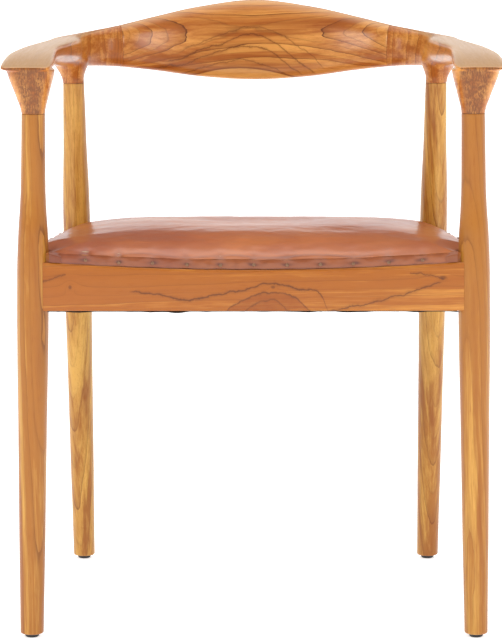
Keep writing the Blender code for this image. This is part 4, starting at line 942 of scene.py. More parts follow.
class RailLine:
    """A line between two leg axes, with the rail's faces at fixed distances from it."""

    def __init__(self, start, end, proud, start_leg, end_leg):
        self.legs = (start_leg, end_leg)
        self.sides = [math.copysign(1, point.x) for point in (start, end)]
        self.outer = proud
        self.inner = proud - RAIL_THICKNESS
        self.along = (end - start).normalized()
        self.outward = Vector((-self.along.y, self.along.x))
        self.middle = (start + end) / 2
        self.length = (end - start).length

    def face(self):
        """Distance from the line to the outside of the leather's skirt."""
        return self.outer - REBATE + FIT + bpy.context.scene.chair_sizes.leather

    def place(self, along, outward):
        return self.middle + self.along * along + self.outward * outward

    def meeting(self, outward, end, radius, height):
        """Where a line parallel to this one leaves a leg's circle, at one of its two ends."""
        axis = self.legs[end].axis(height)
        centre = Vector((axis.x * self.sides[end], axis.y))
        along = (centre - self.middle).dot(self.along)
        off = outward - (centre - self.middle).dot(self.outward)
        half_chord = math.sqrt(max(0.0, radius ** 2 - off ** 2))
        return along + half_chord * (1 if end == 0 else -1)


def over(point):
    return Vector((-point.x, point.y))


LINES = {
    "front": RailLine(FRONT_AT_SEAT, over(FRONT_AT_SEAT), CROSS_PROUD, FRONT_LEG, FRONT_LEG),
    "right": RailLine(BACK_AT_SEAT, FRONT_AT_SEAT, SIDE_PROUD, BACK_LEG, FRONT_LEG),
    "back": RailLine(over(BACK_AT_SEAT), BACK_AT_SEAT, CROSS_PROUD, BACK_LEG, BACK_LEG),
    "left": RailLine(over(FRONT_AT_SEAT), over(BACK_AT_SEAT), SIDE_PROUD, FRONT_LEG, BACK_LEG),
}
SEAT_MIDDLE = Vector((0, (FRONT_AT_SEAT.y + BACK_AT_SEAT.y) / 2))
MIDDLE = np.array(SEAT_MIDDLE[:])


def half_width(depth):
    way = (depth - FRONT_AT_SEAT.y) / (BACK_AT_SEAT.y - FRONT_AT_SEAT.y)
    return FRONT_AT_SEAT.x + (BACK_AT_SEAT.x - FRONT_AT_SEAT.x) * way + LINES["right"].inner


def lip(x, depth):
    """Height of the rails' lip before the seat is sloped, dipping towards the middle."""
    return LIP_Z - SEAT_DISH * np.maximum(0.0, 1 - (x / half_width(depth)) ** 2)


def sloped(x, depth, height):
    return Vector((x, depth, height - SEAT_SLOPE_SHARE * (depth - FRONT_Y)))


def rounded(corners, steps=5):
    """An outline with each corner (across, height, radius) rounded to its radius."""
    points = []
    count = len(corners)
    for i, (x, z, radius) in enumerate(corners):
        here = Vector((x, z))
        before = (Vector(corners[i - 1][:2]) - here).normalized()
        after = (Vector(corners[(i + 1) % count][:2]) - here).normalized()
        if radius == 0:
            points.append(here)
            continue
        for k in range(steps + 1):
            t = k / steps
            a = here + before * radius * (1 - t)
            b = here + after * radius * t
            points.append(a.lerp(b, t))
    return points


class OBJECT_OT_chair_rails(bpy.types.Operator):
    """Mill the four seat rails: a rounded lip outside, a rebate for the leather, ends coped to the legs"""
    bl_idname = "object.chair_rails"
    bl_label = "Seat rails"

    def execute(self, context):
        for number, (side, line) in enumerate(LINES.items()):
            name = f"{side}_rail_milled"
            rings = []
            for step in range(RAIL_STEPS + 1):
                ring = []
                place = line.place((step / RAIL_STEPS - 0.5) * line.length, 0)
                lip_z = lip(place.x, place.y) if line.middle.x == 0 else LIP_Z
                corners = ((line.outer, RAIL_BOTTOM_Z, RAIL_ROUND), (line.outer, lip_z, LIP_ROUND),
                           (line.outer - REBATE, lip_z, 0),
                           (line.outer - REBATE, lip_z + UPSTAND, RAIL_ROUND),
                           (line.inner, lip_z + UPSTAND, RAIL_ROUND), (line.inner, RAIL_BOTTOM_Z, RAIL_ROUND))
                for outward, height in rounded(corners):
                    level = height - SEAT_SLOPE_SHARE * (place.y - FRONT_Y)
                    ends = [line.meeting(outward, end, line.legs[end].radius(level) + FIT, level)
                            for end in (0, 1)]
                    spot = line.place(mix(ends[0], ends[1], step / RAIL_STEPS), outward)
                    ring.append(sloped(spot.x, spot.y, height))
                rings.append(ring)
            obj = add_object(name, lofted(name, rings))
            if line.middle.x == 0:
                front = side == "front"
                wood = teak(f"oiled_teak_{side}_rail", "X", pith=(-0.520, line.middle.y + 0.030),
                            tilt=(0.01, 0.02), pitch=0.0105, tone=0.50, figure=0.40, streaks=0.25,
                            wander=0.016, seed=2.3 + number, knots=FRONT_RAIL_KNOTS if front else (),
                            lines=FRONT_RAIL_VEINS if front else (), board="rail")
            else:
                pith = (math.copysign(0.330, line.middle.x), -0.440)
                wood = teak(f"oiled_teak_{side}_rail", "Y", pith=pith, pitch=0.009, figure=0.7, streaks=0.4,
                            seed=2.3 + number)
            finish_piece(obj, wood, "teak", f"{side}_rail")
        return {"FINISHED"}


# Knots that bend the front rail's rings, and veins over its face, in metres
FRONT_RAIL_FACE_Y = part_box("front_rail")[0].y
FRONT_RAIL_KNOTS = (
    ((-0.2235, FRONT_RAIL_FACE_Y, 0.4400), 0.0042, 0.8, 3.0),
    ((0.0240, FRONT_RAIL_FACE_Y, 0.4400), 0.0028, 1.6, 0.8),
    ((0.2310, FRONT_RAIL_FACE_Y, 0.4515), 0.0040, 1.8, 1.4),
)
FRONT_RAIL_VEINS = (
    (((-0.152, 0.4375), (-0.110, 0.4330), (-0.078, 0.4270), (-0.045, 0.4330), (-0.010, 0.4390),
      (0.020, 0.4475), (0.048, 0.4420), (0.078, 0.4370), (0.086, 0.4260), (0.094, 0.4085)),
     0.00075, 0.95, 0.0),
    (((-0.038, 0.4085), (-0.030, 0.4170), (-0.012, 0.4265), (0.006, 0.4335), (0.022, 0.4350), (0.042, 0.4340),
      (0.058, 0.4240), (0.074, 0.4085)), 0.00060, 0.85, 0.60),
    (((-0.020, 0.4085), (-0.004, 0.4180), (0.016, 0.4265), (0.028, 0.4250), (0.040, 0.4160), (0.060, 0.4085)),
     0.00060, 0.60, 0.35),
    (((0.070, 0.4100), (0.110, 0.4170), (0.160, 0.4280), (0.205, 0.4400), (0.231, 0.4490)),
     0.00085, 0.80, 0.0),
    (((0.190, 0.4590), (0.215, 0.4580), (0.233, 0.4530)), 0.00070, 0.65, 0.0),
    (((-0.262, 0.4480), (-0.246, 0.4540), (-0.228, 0.4590)), 0.00070, 0.65, 0.0),
)
# Veins that arch over the crest's lower half, one inside the other
CREST_VEINS = (
    (((-0.0985, 0.7045), (-0.062, 0.7167), (-0.0216, 0.7310), (0.005, 0.7335), (0.046, 0.7167),
      (0.080, 0.6940), (0.096, 0.6760)), 0.00060, 0.50, 0.0),
    (((-0.123, 0.6870), (-0.086, 0.6980), (-0.035, 0.7140), (-0.001, 0.7240), (0.043, 0.7005),
      (0.084, 0.6708)),
     0.00075, 0.65, 0.10),
    (((-0.140, 0.6790), (-0.086, 0.6880), (-0.053, 0.7005), (0.000, 0.7073), (0.032, 0.6937),
      (0.066, 0.6694)),
     0.00070, 0.65, 0.12),
    (((-0.103, 0.6708), (-0.069, 0.6800), (-0.022, 0.6900), (0.000, 0.6870), (0.026, 0.6790),
      (0.046, 0.6694)),
     0.00060, 0.55, 0.12),
)


# Seat cover

EDGE_STEP = 0.0084           # spacing of the coarse skin that is filled with air
ARC_STEPS = 5
COVER_RINGS = 20
COVER_REACH_SHARE = 0.97     # how much of the way to the middle they take
COVER_CROWDING = 1.35        # the power that crowds them at the edge
FINE = 3                     # the finished skin has this many points to each of the coarse one's
SKIRT_ROWS = 5
SPREAD_PASSES = 8            # smoothing of the coarse skin's moves
HUB_ROWS = 6                 # rows round the middle that move alike
SIM_FRAMES = 20
CLOTH_SETTINGS = {
    "quality": 6, "mass": 0.4, "tension_stiffness": 20, "compression_stiffness": 20, "shear_stiffness": 10,
    "bending_stiffness": 4, "use_pressure": True, "uniform_pressure_force": 4.0,
    "vertex_group_mass": "pinned",
}
SWELL_LIMIT = 0.0055         # how far a point of the cover may move as it fills
# Rings of the foam, as shares of the way to the seat's middle
FOAM_RING_SHARES = (0.05, 0.08, 0.12, 0.18, 0.26, 0.36, 0.50, 0.70, 0.88)
FOAM_UNDER = 0.0042          # how far it stays below the leather's outer face
FOAM_LIFT = 0.0040           # and above the rails' upstand, for the webbing

# Puckers: how far in from a rail's outer face they reach and fade, how far a tack draws the leather in and
# down, and how far it stands out between two tacks
TACK_END_ROOM = 0.0225
PUCKER_REACH = 0.045
PUCKER_FADE = 0.035
PUCKER_DEPTH = 0.0030
PUCKER_DROP = 0.0012
RIDGE_WIDTH = 0.014
RIDGE_HEIGHT = 0.0018
# The crease over the strip, at a level that sways, and the bead over the crease
CREASE_LEVEL = 0.0034
CREASE_SWAY = 0.0014
CREASE_WIDTH = 0.0019
CREASE_DEPTH = 0.0026
BEAD_RISE = 0.0055
BEAD_WIDTH = 0.0030
BEAD_HEIGHT = 0.0016


def seat_outline(inset, leg_room, height, fine=FINE):
    """The seat's plan, clockwise from above: edges inside the rails' outer faces, and arcs round the legs."""
    arc_steps = ARC_STEPS * fine
    order = ("back", "right", "front", "left")
    arcs = []
    for i, side in enumerate(order):
        near = LINES[side]
        far = LINES[order[(i + 1) % 4]]
        leg = near.legs[1]
        level = height - SEAT_SLOPE_SHARE * (leg.axis(SEAT_LEVEL).y - FRONT_Y)
        axis = leg.axis(level)
        centre = Vector((axis.x * near.sides[1], axis.y))
        radius = leg.seat_r + leg_room
        enter = near.place(near.meeting(near.outer - inset, 1, radius, level), near.outer - inset)
        leave = far.place(far.meeting(far.outer - inset, 0, radius, level), far.outer - inset)
        inward = math.atan2(SEAT_MIDDLE.y - centre.y, SEAT_MIDDLE.x - centre.x)
        first = math.remainder(math.atan2(enter.y - centre.y, enter.x - centre.x) - inward, 2 * math.pi)
        last = math.remainder(math.atan2(leave.y - centre.y, leave.x - centre.x) - inward, 2 * math.pi)
        angles = [inward + mix(first, last, k / arc_steps) for k in range(arc_steps + 1)]
        arcs.append([centre + radius * Vector((math.cos(a), math.sin(a))) for a in angles])
    outline = []
    for i, arc in enumerate(arcs):
        outline += [(point, True) for point in arc]
        end = arcs[(i + 1) % 4][0]
        count = round((end - arc[-1]).length / EDGE_STEP) * fine
        for k in range(1, count):
            outline.append((arc[-1].lerp(end, k / count), False))
    return outline


def plan_of(outline):
    """An outline's points, as an array."""
    return np.array([point[:] for point, _ in outline])


def edge_distances(points, outline):
    """Shortest way from each point in plan to the outline."""
    starts = plan_of(outline)
    runs = np.roll(starts, -1, axis=0) - starts
    gaps = points[:, None, :] - starts[None, :, :]
    share = np.clip((gaps * runs).sum(2) / (runs ** 2).sum(1), 0, 1)
    gaps -= share[:, :, None] * runs[None, :, :]
    return np.sqrt((gaps ** 2).sum(2)).min(1)


def cover_heights(points, outline, sizes):
    """Height of the leather's outer face before the slope: rolled at the edges and crowned between them."""
    front, right = LINES["front"], LINES["right"]
    x, y = points[:, 0], points[:, 1]
    half_depth = SEAT_MIDDLE.y - FRONT_AT_SEAT.y + front.face()
    across = x / (half_width(y) - right.inner + right.face())
    from_front = half_depth + (y - SEAT_MIDDLE.y)
    from_back = 2 * half_depth - from_front
    roll = np.sin(np.pi / 2 * np.minimum(1.0, edge_distances(points, outline) / sizes.seat_roll))
    crown = sizes.seat_crown * np.maximum(0, 1 - np.abs(across) ** 3)
    crown *= np.sin(np.pi / 2 * np.clip(from_front / sizes.seat_front_slope, 0, 1))
    crown *= np.sin(np.pi / 2 * np.clip(from_back / sizes.seat_back_slope, 0, 1))
    return lip(x, y) + UPSTAND + sizes.leather + sizes.seat_rise * roll + crown


def cover_rows(sizes, fine):
    """Rings of points from the skirt's foot up over the roll to the seat's middle, before the slope."""
    outline = seat_outline(REBATE - FIT - sizes.leather, LEG_ROOM, LIP_Z + UPSTAND, fine)
    plan = plan_of(outline)
    on_arc = np.array([arc for _, arc in outline])
    lips = lip(plan[:, 0], plan[:, 1])
    low = np.where(on_arc, lips + UPSTAND * 0.6, lips) + FIT
    high = lips + UPSTAND + sizes.leather
    rows = [np.column_stack((plan, mix(low, high, k / SKIRT_ROWS))) for k in range(SKIRT_ROWS + 1)]
    count = COVER_RINGS * fine
    for k in range(1, count + 1):
        ring = mix(plan, MIDDLE, COVER_REACH_SHARE * (k / count) ** COVER_CROWDING)
        rows.append(np.column_stack((ring, cover_heights(ring, outline, sizes))))
    hub = cover_heights(MIDDLE[None, :], outline, sizes)[0]
    return rows, np.array((*MIDDLE, hub)), outline


def spread(moves, columns, fine):
    """The coarse skin's moves, blended over the points of the fine one."""
    rows = len(moves[:-1]) // columns
    grid = moves[:-1].reshape(rows, columns, 3)
    for _ in range(SPREAD_PASSES):
        grid = (np.roll(grid, 1, axis=1) + 2 * grid + np.roll(grid, -1, axis=1)) / 4
        grid[1:-1] = (grid[:-2] + 2 * grid[1:-1] + grid[2:]) / 4
    hub = np.broadcast_to(grid[-1].mean(axis=0), grid[-1].shape)
    for back in range(1, HUB_ROWS + 1):
        grid[-back] = mix(hub, grid[-back], (back - 1) / HUB_ROWS)
    grid = np.concatenate((grid, grid[:, :1]), axis=1)
    across = np.arange(columns * fine) / fine
    left = across.astype(int)
    share = (across - left)[None, :, None]
    wide = grid[:, left] * (1 - share) + grid[:, left + 1] * share
    down = np.concatenate((np.arange(SKIRT_ROWS),
                           SKIRT_ROWS + np.arange((rows - 1 - SKIRT_ROWS) * fine + 1) / fine))
    top = np.minimum(down.astype(int), rows - 2)
    share = (down - top)[:, None, None]
    full = wide[top] * (1 - share) + wide[top + 1] * share
    return np.concatenate((full.reshape(-1, 3), hub[:1]))


def skin_of(rows, hub, name):
    """A mesh of rings closed by a fan at the hub, with its lowest ring open."""
    count = len(rows[0])
    points = np.concatenate([*rows, hub[None, :]])
    points[:, 2] -= SEAT_SLOPE_SHARE * (points[:, 1] - FRONT_Y)
    faces = []
    for row in range(len(rows) - 1):
        for i in range(count):
            j = (i + 1) % count
            faces.append((row * count + i, row * count + j, (row + 1) * count + j, (row + 1) * count + i))
    last = (len(rows) - 1) * count
    for i in range(count):
        faces.append((last + i, last + (i + 1) % count, len(points) - 1))
    mesh = bpy.data.meshes.new(name)
    mesh.from_pydata([tuple(p) for p in points], [], faces)
    mesh.update()
    if sum(polygon.normal.z * polygon.area for polygon in mesh.polygons) < 0:
        mesh.flip_normals()
    return mesh


def close_below(mesh, count):
    """Closes a skin's lowest ring with one face."""
    bm = bmesh.new()
    bm.from_mesh(mesh)
    bm.verts.ensure_lookup_table()
    bm.faces.new([bm.verts[i] for i in range(count)])
    bmesh.ops.recalc_face_normals(bm, faces=bm.faces)
    bm.to_mesh(mesh)
    bm.free()


def fill_with_air(obj, loose, limit):
    """Swells a closed pad with cloth simulation; a point moves by its looseness times the limit at most."""
    scene = bpy.context.scene
    rest = coordinates(obj.data)
    pinned = obj.vertex_groups.new(name="pinned")
    for index in np.nonzero(loose < 0.01)[0]:
        pinned.add([int(index)], 1.0, "REPLACE")
    cloth = obj.modifiers.new("fill", "CLOTH")
    for key, value in CLOTH_SETTINGS.items():
        setattr(cloth.settings, key, value)
    cloth.settings.effector_weights.gravity = 0
    cloth.collision_settings.use_collision = False
    cloth.point_cache.frame_start = 1
    cloth.point_cache.frame_end = SIM_FRAMES
    for step in range(1, SIM_FRAMES + 1):
        scene.frame_set(step)
    depsgraph = bpy.context.evaluated_depsgraph_get()
    move = coordinates(obj.evaluated_get(depsgraph).data) - rest
    obj.modifiers.remove(cloth)
    obj.vertex_groups.clear()
    scene.frame_set(1)
    reach = np.linalg.norm(move, axis=1)
    if not np.isfinite(reach).all():
        raise RuntimeError("the seat's simulation did not hold together")
    move *= np.minimum(1.0, limit * loose / np.maximum(reach, 1e-9))[:, None]
    return move


def tack_places(line):
    """Distances along a rail's line at which the strip is tacked."""
    pitch = bpy.context.scene.chair_sizes.tack_pitch
    half = line.length / 2 - TACK_END_ROOM
    count = TACK_COUNT if line is LINES["front"] else 2 * int(half / pitch) + 1
    return [pitch * (i - (count - 1) / 2) for i in range(count)]


def noise_over(points, scales):
    """Smooth noise at each of many points, which are first scaled along each axis."""
    return np.array([noise.noise(Vector(point)) for point in points * np.array(scales)])


def store_fold_shade(mesh, folds):
    """Stores the painted shade of each point of the leather: how deep it lies in the folds, creases and
    dents.
    """
    attribute = mesh.attributes.new("fold_shade", "FLOAT", "POINT")
    attribute.data.foreach_set("value", np.asarray(folds, np.float32))


def pucker(obj, sizes):
    """Draws the cover in at each tack, so that it wrinkles over the strip, and paints shade into the dents
    and the crease.
    """
    rng = random.Random(SEED)
    points = coordinates(obj.data)
    fold_shade = np.zeros(len(points))
    depth = points[:, 1]
    lip_z = lip(points[:, 0], depth) - SEAT_SLOPE_SHARE * (depth - FRONT_Y)
    above = points[:, 2] - lip_z - sizes.gimp_height
    for line in LINES.values():
        outward = np.array(line.outward[:])
        gap = points[:, :2] - np.array(line.middle[:])
        along = gap @ np.array(line.along[:])
        near = np.clip((gap @ outward - (line.outer - PUCKER_REACH)) / PUCKER_FADE, 0, 1)
        for place in tack_places(line):
            pull = rng.uniform(0.5, 1.4)
            width = rng.uniform(0.0055, 0.0095)
            drift = rng.uniform(-0.35, 0.35)
            fade = np.exp(-np.maximum(above, 0) / rng.uniform(0.007, 0.013))
            centre = place + drift * np.maximum(above, 0)
            dent = pull * np.exp(-((along - centre) / width) ** 2) * fade * near
            points[:, :2] -= PUCKER_DEPTH * dent[:, None] * outward
            points[:, 2] -= PUCKER_DROP * dent
            # Painted shade in the dent round the tack
            fold_shade = np.maximum(fold_shade, np.clip(dent - 0.30, 0, 1) * 0.8)
            ridge = place + sizes.tack_pitch / 2 * rng.uniform(0.8, 1.2)
            swell = rng.uniform(0.3, 1.0) * np.exp(-((along - ridge) / RIDGE_WIDTH) ** 2) * fade * near
            points[:, :2] += RIDGE_HEIGHT * swell[:, None] * outward
        # The cover rolls over the strip: a crease above it that comes and goes, with painted shade in it, and
        # a bead over the crease
        crease = np.array([0.5 + 0.9 * noise.noise(Vector((a * 17, line.outer * 90, 5.0))) for a in along])
        level = CREASE_LEVEL + CREASE_SWAY * np.sin(along * 61 + line.outer * 400)
        groove = np.clip(crease, 0, 1) * np.exp(-((above - level) / CREASE_WIDTH) ** 2) * near
        points[:, :2] -= CREASE_DEPTH * groove[:, None] * outward
        fold_shade = np.maximum(fold_shade, np.clip(groove - 0.25, 0, 1) * 1.1)
        bead = np.clip(crease, 0, 1) * np.exp(-((above - level - BEAD_RISE) / BEAD_WIDTH) ** 2) * near
        points[:, :2] += BEAD_HEIGHT * bead[:, None] * outward
    wave = noise_over(points, (9, 20, 30))
    fine = noise_over(points, (75, 75, 120))
    points[:, 2] += np.where(above > 0, 0.0009 * wave + 0.00025 * fine, 0) * np.clip(above / 0.01, 0, 1)
    obj.data.vertices.foreach_set("co", points.ravel())
    store_fold_shade(obj.data, fold_shade)
    obj.data.update()


class OBJECT_OT_chair_seat(bpy.types.Operator):
    """Upholster the seat: foam, and the leather cover filled by cloth simulation, tacked and puckered"""
    bl_idname = "object.chair_seat"
    bl_label = "Seat"

    def execute(self, context):
        sizes = context.scene.chair_sizes
        rows, hub, outline = cover_rows(sizes, FINE)
        mesh = skin_of(rows, hub, "seat_cover")
        obj = add_object("seat_cover", mesh)
        # A coarse pad, closed with a floor, is filled with air; the fine skin takes over its shape
        coarse_rows, coarse_hub, coarse_outline = cover_rows(sizes, 1)
        columns = len(coarse_outline)
        pad = add_object("seat_pad", skin_of(coarse_rows, coarse_hub, "seat_pad"))
        close_below(pad.data, columns)
        rings = np.minimum(np.arange(len(pad.data.vertices)) // columns, len(coarse_rows))
        loose = np.clip((rings - SKIRT_ROWS) / 3, 0, 1)
        loose = loose * np.clip((len(coarse_rows) - rings) / (len(coarse_rows) * 0.6), 0, 1)
        moves = spread(fill_with_air(pad, loose, SWELL_LIMIT), columns, FINE)
        bpy.data.objects.remove(pad)
        mesh.vertices.foreach_set("co", (coordinates(mesh) + moves).ravel())
        pucker(obj, sizes)
        thickened(obj, sizes.leather)
        finish_piece(obj, leather_material("waxed_cognac_leather"), "leather", "seat_leather", sharp=60)
        foam = foam_piece(outline, sizes)
        return {"FINISHED"}


def foam_piece(outline, sizes):
    """The pad under the leather, crowned like it and flat on the webbing."""
    plan = plan_of(outline)
    top = []
    bottom = []
    for share in FOAM_RING_SHARES:
        ring = mix(plan, MIDDLE, share)
        top.append(np.column_stack((ring, cover_heights(ring, outline, sizes) - FOAM_UNDER)))
        bottom.append(np.column_stack((ring, lip(ring[:, 0], ring[:, 1]) + UPSTAND + FOAM_LIFT)))
    edge = top[0].copy()
    edge[:, 2] = (top[0][:, 2] + bottom[0][:, 2]) / 2
    rows = list(reversed(bottom)) + [edge] + top
    hub = np.array((*MIDDLE, cover_heights(MIDDLE[None, :], outline, sizes)[0] - FOAM_UNDER))
    mesh = skin_of(rows, hub, "seat_foam_pad")
    close_below(mesh, len(plan))
    foam = plain_finish("open_cell_foam", bpy.context.scene.chair_colours.foam, 0.95, 700, 0.8)
    return finish_piece(add_object("seat_foam_pad", mesh), foam, "foam", "seat_foam")


# Strips and tacks

STRIP_STEP = 0.0022
STRIP_ROWS = 9
STRIP_SLACK = 0.0011         # how far it stands off between two tacks
STRIP_CRUMPLE = 0.00035
STRIP_LEAN = 0.0004          # how far its top stands out
# The cover's corner beside a front leg: its place across, its height, and how its top falls and leans
CORNER_INNER_X = 0.2345
CORNER_OUTER_X = 0.2485
CORNER_HEIGHT = 0.0130
CORNER_COLUMNS = 12
CORNER_ROWS = 14
CORNER_DROP = 0.0035
CORNER_LEAN = 0.0035
CORNER_BOW = 0.0006
CORNER_OUT = 0.0022
CORNER_LIFT = 0.0008
CORNER_SHADE = 0.35
SCATTER_NAME = "tacks_along_a_path"
TACK_PLAY = 0.0012           # how far a tack may be off its place
TACK_TILT = math.radians(9)
TACK_POINTS = 14
TACK_RING_ANGLES = (-20, 0, 20, 42, 64, 84)      # degrees up the domed head


def grid_mesh(name, points, folds, rows, outward):
    """An open skin over columns of rows + 1 points, facing outward, with its painted shade stored."""
    faces = []
    for i in range(len(points) // (rows + 1) - 1):
        for j in range(rows):
            a = i * (rows + 1) + j
            faces.append((a, a + 1, a + rows + 2, a + rows + 1))
    mesh = bpy.data.meshes.new(name)
    mesh.from_pydata([point[:] for point in points], [], faces)
    mesh.update()
    if sum(polygon.normal.dot(outward) for polygon in mesh.polygons) < 0:
        mesh.flip_normals()
    store_fold_shade(mesh, folds)
    return mesh


def strip_mesh(name, line, start, end, sizes, rng):
    """A leather strip tacked along the foot of the cover: drawn in at the tacks, slack between them."""
    columns = round((end - start) / STRIP_STEP)
    tacks = np.array(tack_places(line))
    points = []
    folds = []
    phase = rng.uniform(0, 50)
    for i in range(columns + 1):
        along = mix(start, end, i / columns)
        gap = np.abs(tacks - along).min() / (sizes.tack_pitch / 2)
        slack = 0.5 - 0.5 * math.cos(math.pi * min(gap, 1.0))
        wave = noise.noise(Vector((along * 28, phase, 0)))
        frill = noise.noise(Vector((along * 95, phase + 9, 0)))
        for j in range(STRIP_ROWS + 1):
            up = j / STRIP_ROWS
            belly = math.sin(math.pi * min(1.0, 0.15 + 0.85 * up)) ** 0.7
            crumple = noise.noise(Vector((along * 120, up * 2.2, phase + 20)))
            out = line.face() + FIT + LIFT + STRIP_SLACK * slack * belly + STRIP_CRUMPLE * crumple * belly
            out += STRIP_LEAN * up * (1 + wave)
            place = line.place(along, out)
            top = sizes.gimp_height + 0.0011 * wave + 0.0005 * frill - 0.0006 * (1 - slack)
            height = float(lip(place.x, place.y)) + FIT + mix(LIFT + 0.0003 * (1 + frill), top, up)
            points.append(sloped(place.x, place.y, height))
            # Painted shade: darker round each tack's dent and in the crumples, and in lines along the strip's
            # top, where it meets the cover, and its foot, where it meets the rail
            reach = math.exp(-((gap * sizes.tack_pitch / 2) / 0.0062) ** 2 - ((up - 0.48) / 0.20) ** 2)
            folds.append(min(1.0, 1.15 * reach * (1 + 0.8 * crumple)) + 0.30 * max(0.0, up - 0.80) / 0.20
                         + 0.70 * max(0.0, 0.14 - up) / 0.14 + max(0.0, 0.5 * crumple - 0.05))
    return grid_mesh(name, points, folds, STRIP_ROWS, Vector((*line.outward, 0)))


class OBJECT_OT_chair_strips(bpy.types.Operator):
    """Lay a leather strip along each side of the cover, and turn the cover's corners down flat beside the
    front legs
    """
    bl_idname = "object.chair_strips"
    bl_label = "Leather strips"

    def execute(self, context):
        sizes = context.scene.chair_sizes
        skin = leather_material("waxed_leather_strip", dark=0.42)
        rng = random.Random(SEED)
        for side, line in LINES.items():
            start = -line.length / 2 + line.legs[0].seat_r + GIMP_LEG_ROOM
            end = line.length / 2 - line.legs[1].seat_r - GIMP_LEG_ROOM
            name = f"{side}_gimp_strip"
            obj = add_object(name, strip_mesh(name, line, start, end, sizes, rng))
            thickened(obj, GIMP_THICKNESS, 1)
            finish_piece(obj, skin, "leather", f"{side}_gimp", sharp=60)
        for sign, side in ((1, "right"), (-1, "left")):
            obj = thickened(add_object(f"front_{side}_corner_fold", corner_fold(sign)), sizes.leather, 1)
            finish_piece(obj, skin, "leather", sharp=60)
        return {"FINISHED"}


def corner_fold(sign):
    """The cover's cut corner, folded down flat beside a front leg."""
    line = LINES["front"]
    points = []
    for i in range(CORNER_COLUMNS + 1):
        share = i / CORNER_COLUMNS
        x = mix(CORNER_INNER_X, CORNER_OUTER_X, share)
        for j in range(CORNER_ROWS + 1):
            up = j / CORNER_ROWS
            lean = CORNER_LEAN * max(0.0, up - 0.72) / 0.28
            bow = CORNER_BOW * math.sin(math.pi * i / CORNER_COLUMNS)
            place = line.place(-x * sign, line.face() + CORNER_OUT + bow - lean)
            tip = CORNER_HEIGHT - CORNER_DROP * (1 - share) ** 2
            points.append(sloped(place.x, place.y,
                                 float(lip(place.x, place.y)) + FIT + mix(CORNER_LIFT, tip, up)))
    # The whole corner is painted evenly darker, as shade
    return grid_mesh("corner_fold", points, [CORNER_SHADE] * len(points), CORNER_ROWS,
                     Vector((*line.outward, 0)))


def scatter_tree():
    """Geometry Nodes: one copy of a template on every point, turned to the point's facing, a little askew."""
    tree = bpy.data.node_groups.new(SCATTER_NAME, "GeometryNodeTree")
    for label, kind in (("Points", "Geometry"), ("Template", "Object"), ("Tilt", "Float"), ("Seed", "Int"),
                        ("Material", "Material")):
        tree.interface.new_socket(label, in_out="INPUT", socket_type=f"NodeSocket{kind}")
    tree.interface.new_socket("Pieces", in_out="OUTPUT", socket_type="NodeSocketGeometry")
    add = partial(add_node, tree)
    given = add("NodeGroupInput")
    facing, running = [add("GeometryNodeInputNamedAttribute", {"Name": label}, data_type="FLOAT_VECTOR")[0]
                       for label in ("facing", "running")]
    turn = add("FunctionNodeAlignRotationToVector", {"Vector": facing}, axis="Z")[0]
    turn = add("FunctionNodeAlignRotationToVector", {"Rotation": turn, "Vector": running}, axis="X",
               pivot_axis="Z")[0]
    least = add("ShaderNodeMath", {0: given["Tilt"], 1: -1.0}, operation="MULTIPLY")[0]
    lows, highs = [add("ShaderNodeCombineXYZ", {0: angle, 1: angle, 2: angle})[0]
                   for angle in (least, given["Tilt"])]
    skew = add("FunctionNodeRandomValue", {0: lows, 1: highs, "Seed": given["Seed"]},
               data_type="FLOAT_VECTOR")[0]
    skew = add("FunctionNodeEulerToRotation", {0: skew})[0]
    turn = add("FunctionNodeRotateRotation", {0: turn, 1: skew}, rotation_space="LOCAL")[0]
    shape = add("GeometryNodeObjectInfo", {"Object": given["Template"]})["Geometry"]
    copies = add("GeometryNodeInstanceOnPoints", {"Points": given["Points"], "Instance": shape,
                                                  "Rotation": turn})[0]
    real = add("GeometryNodeRealizeInstances", {0: copies})[0]
    done = add("GeometryNodeSetMaterial", {"Geometry": real, "Material": given["Material"]})[0]
    add("NodeGroupOutput", {0: done})
    return tree


def scattered(name, places, rings, tilt, material):
    """A plain mesh of one loft's copies at (point, facing, running) places."""
    template = add_object(f"{name}_template", lofted(f"{name}_template", rings))
    mesh = bpy.data.meshes.new(f"{name}_points")
    mesh.from_pydata([place[0][:] for place in places], [], [])
    for label, column in (("facing", 1), ("running", 2)):
        attribute = mesh.attributes.new(label, "FLOAT_VECTOR", "POINT")
        values = np.array([place[column][:] for place in places], np.float32)
        attribute.data.foreach_set("vector", values.ravel())
    obj = add_object(name, mesh)
    tree = bpy.data.node_groups.get(SCATTER_NAME) or scatter_tree()
    nodes = obj.modifiers.new("copies", "NODES")
    nodes.node_group = tree
    given = {item.name: item.identifier for item in tree.interface.items_tree if item.in_out == "INPUT"}
    for label, value in (("Template", template), ("Tilt", tilt), ("Seed", SEED), ("Material", material)):
        nodes[given[label]] = value
    baked(obj)
    bpy.data.objects.remove(template)
    return obj


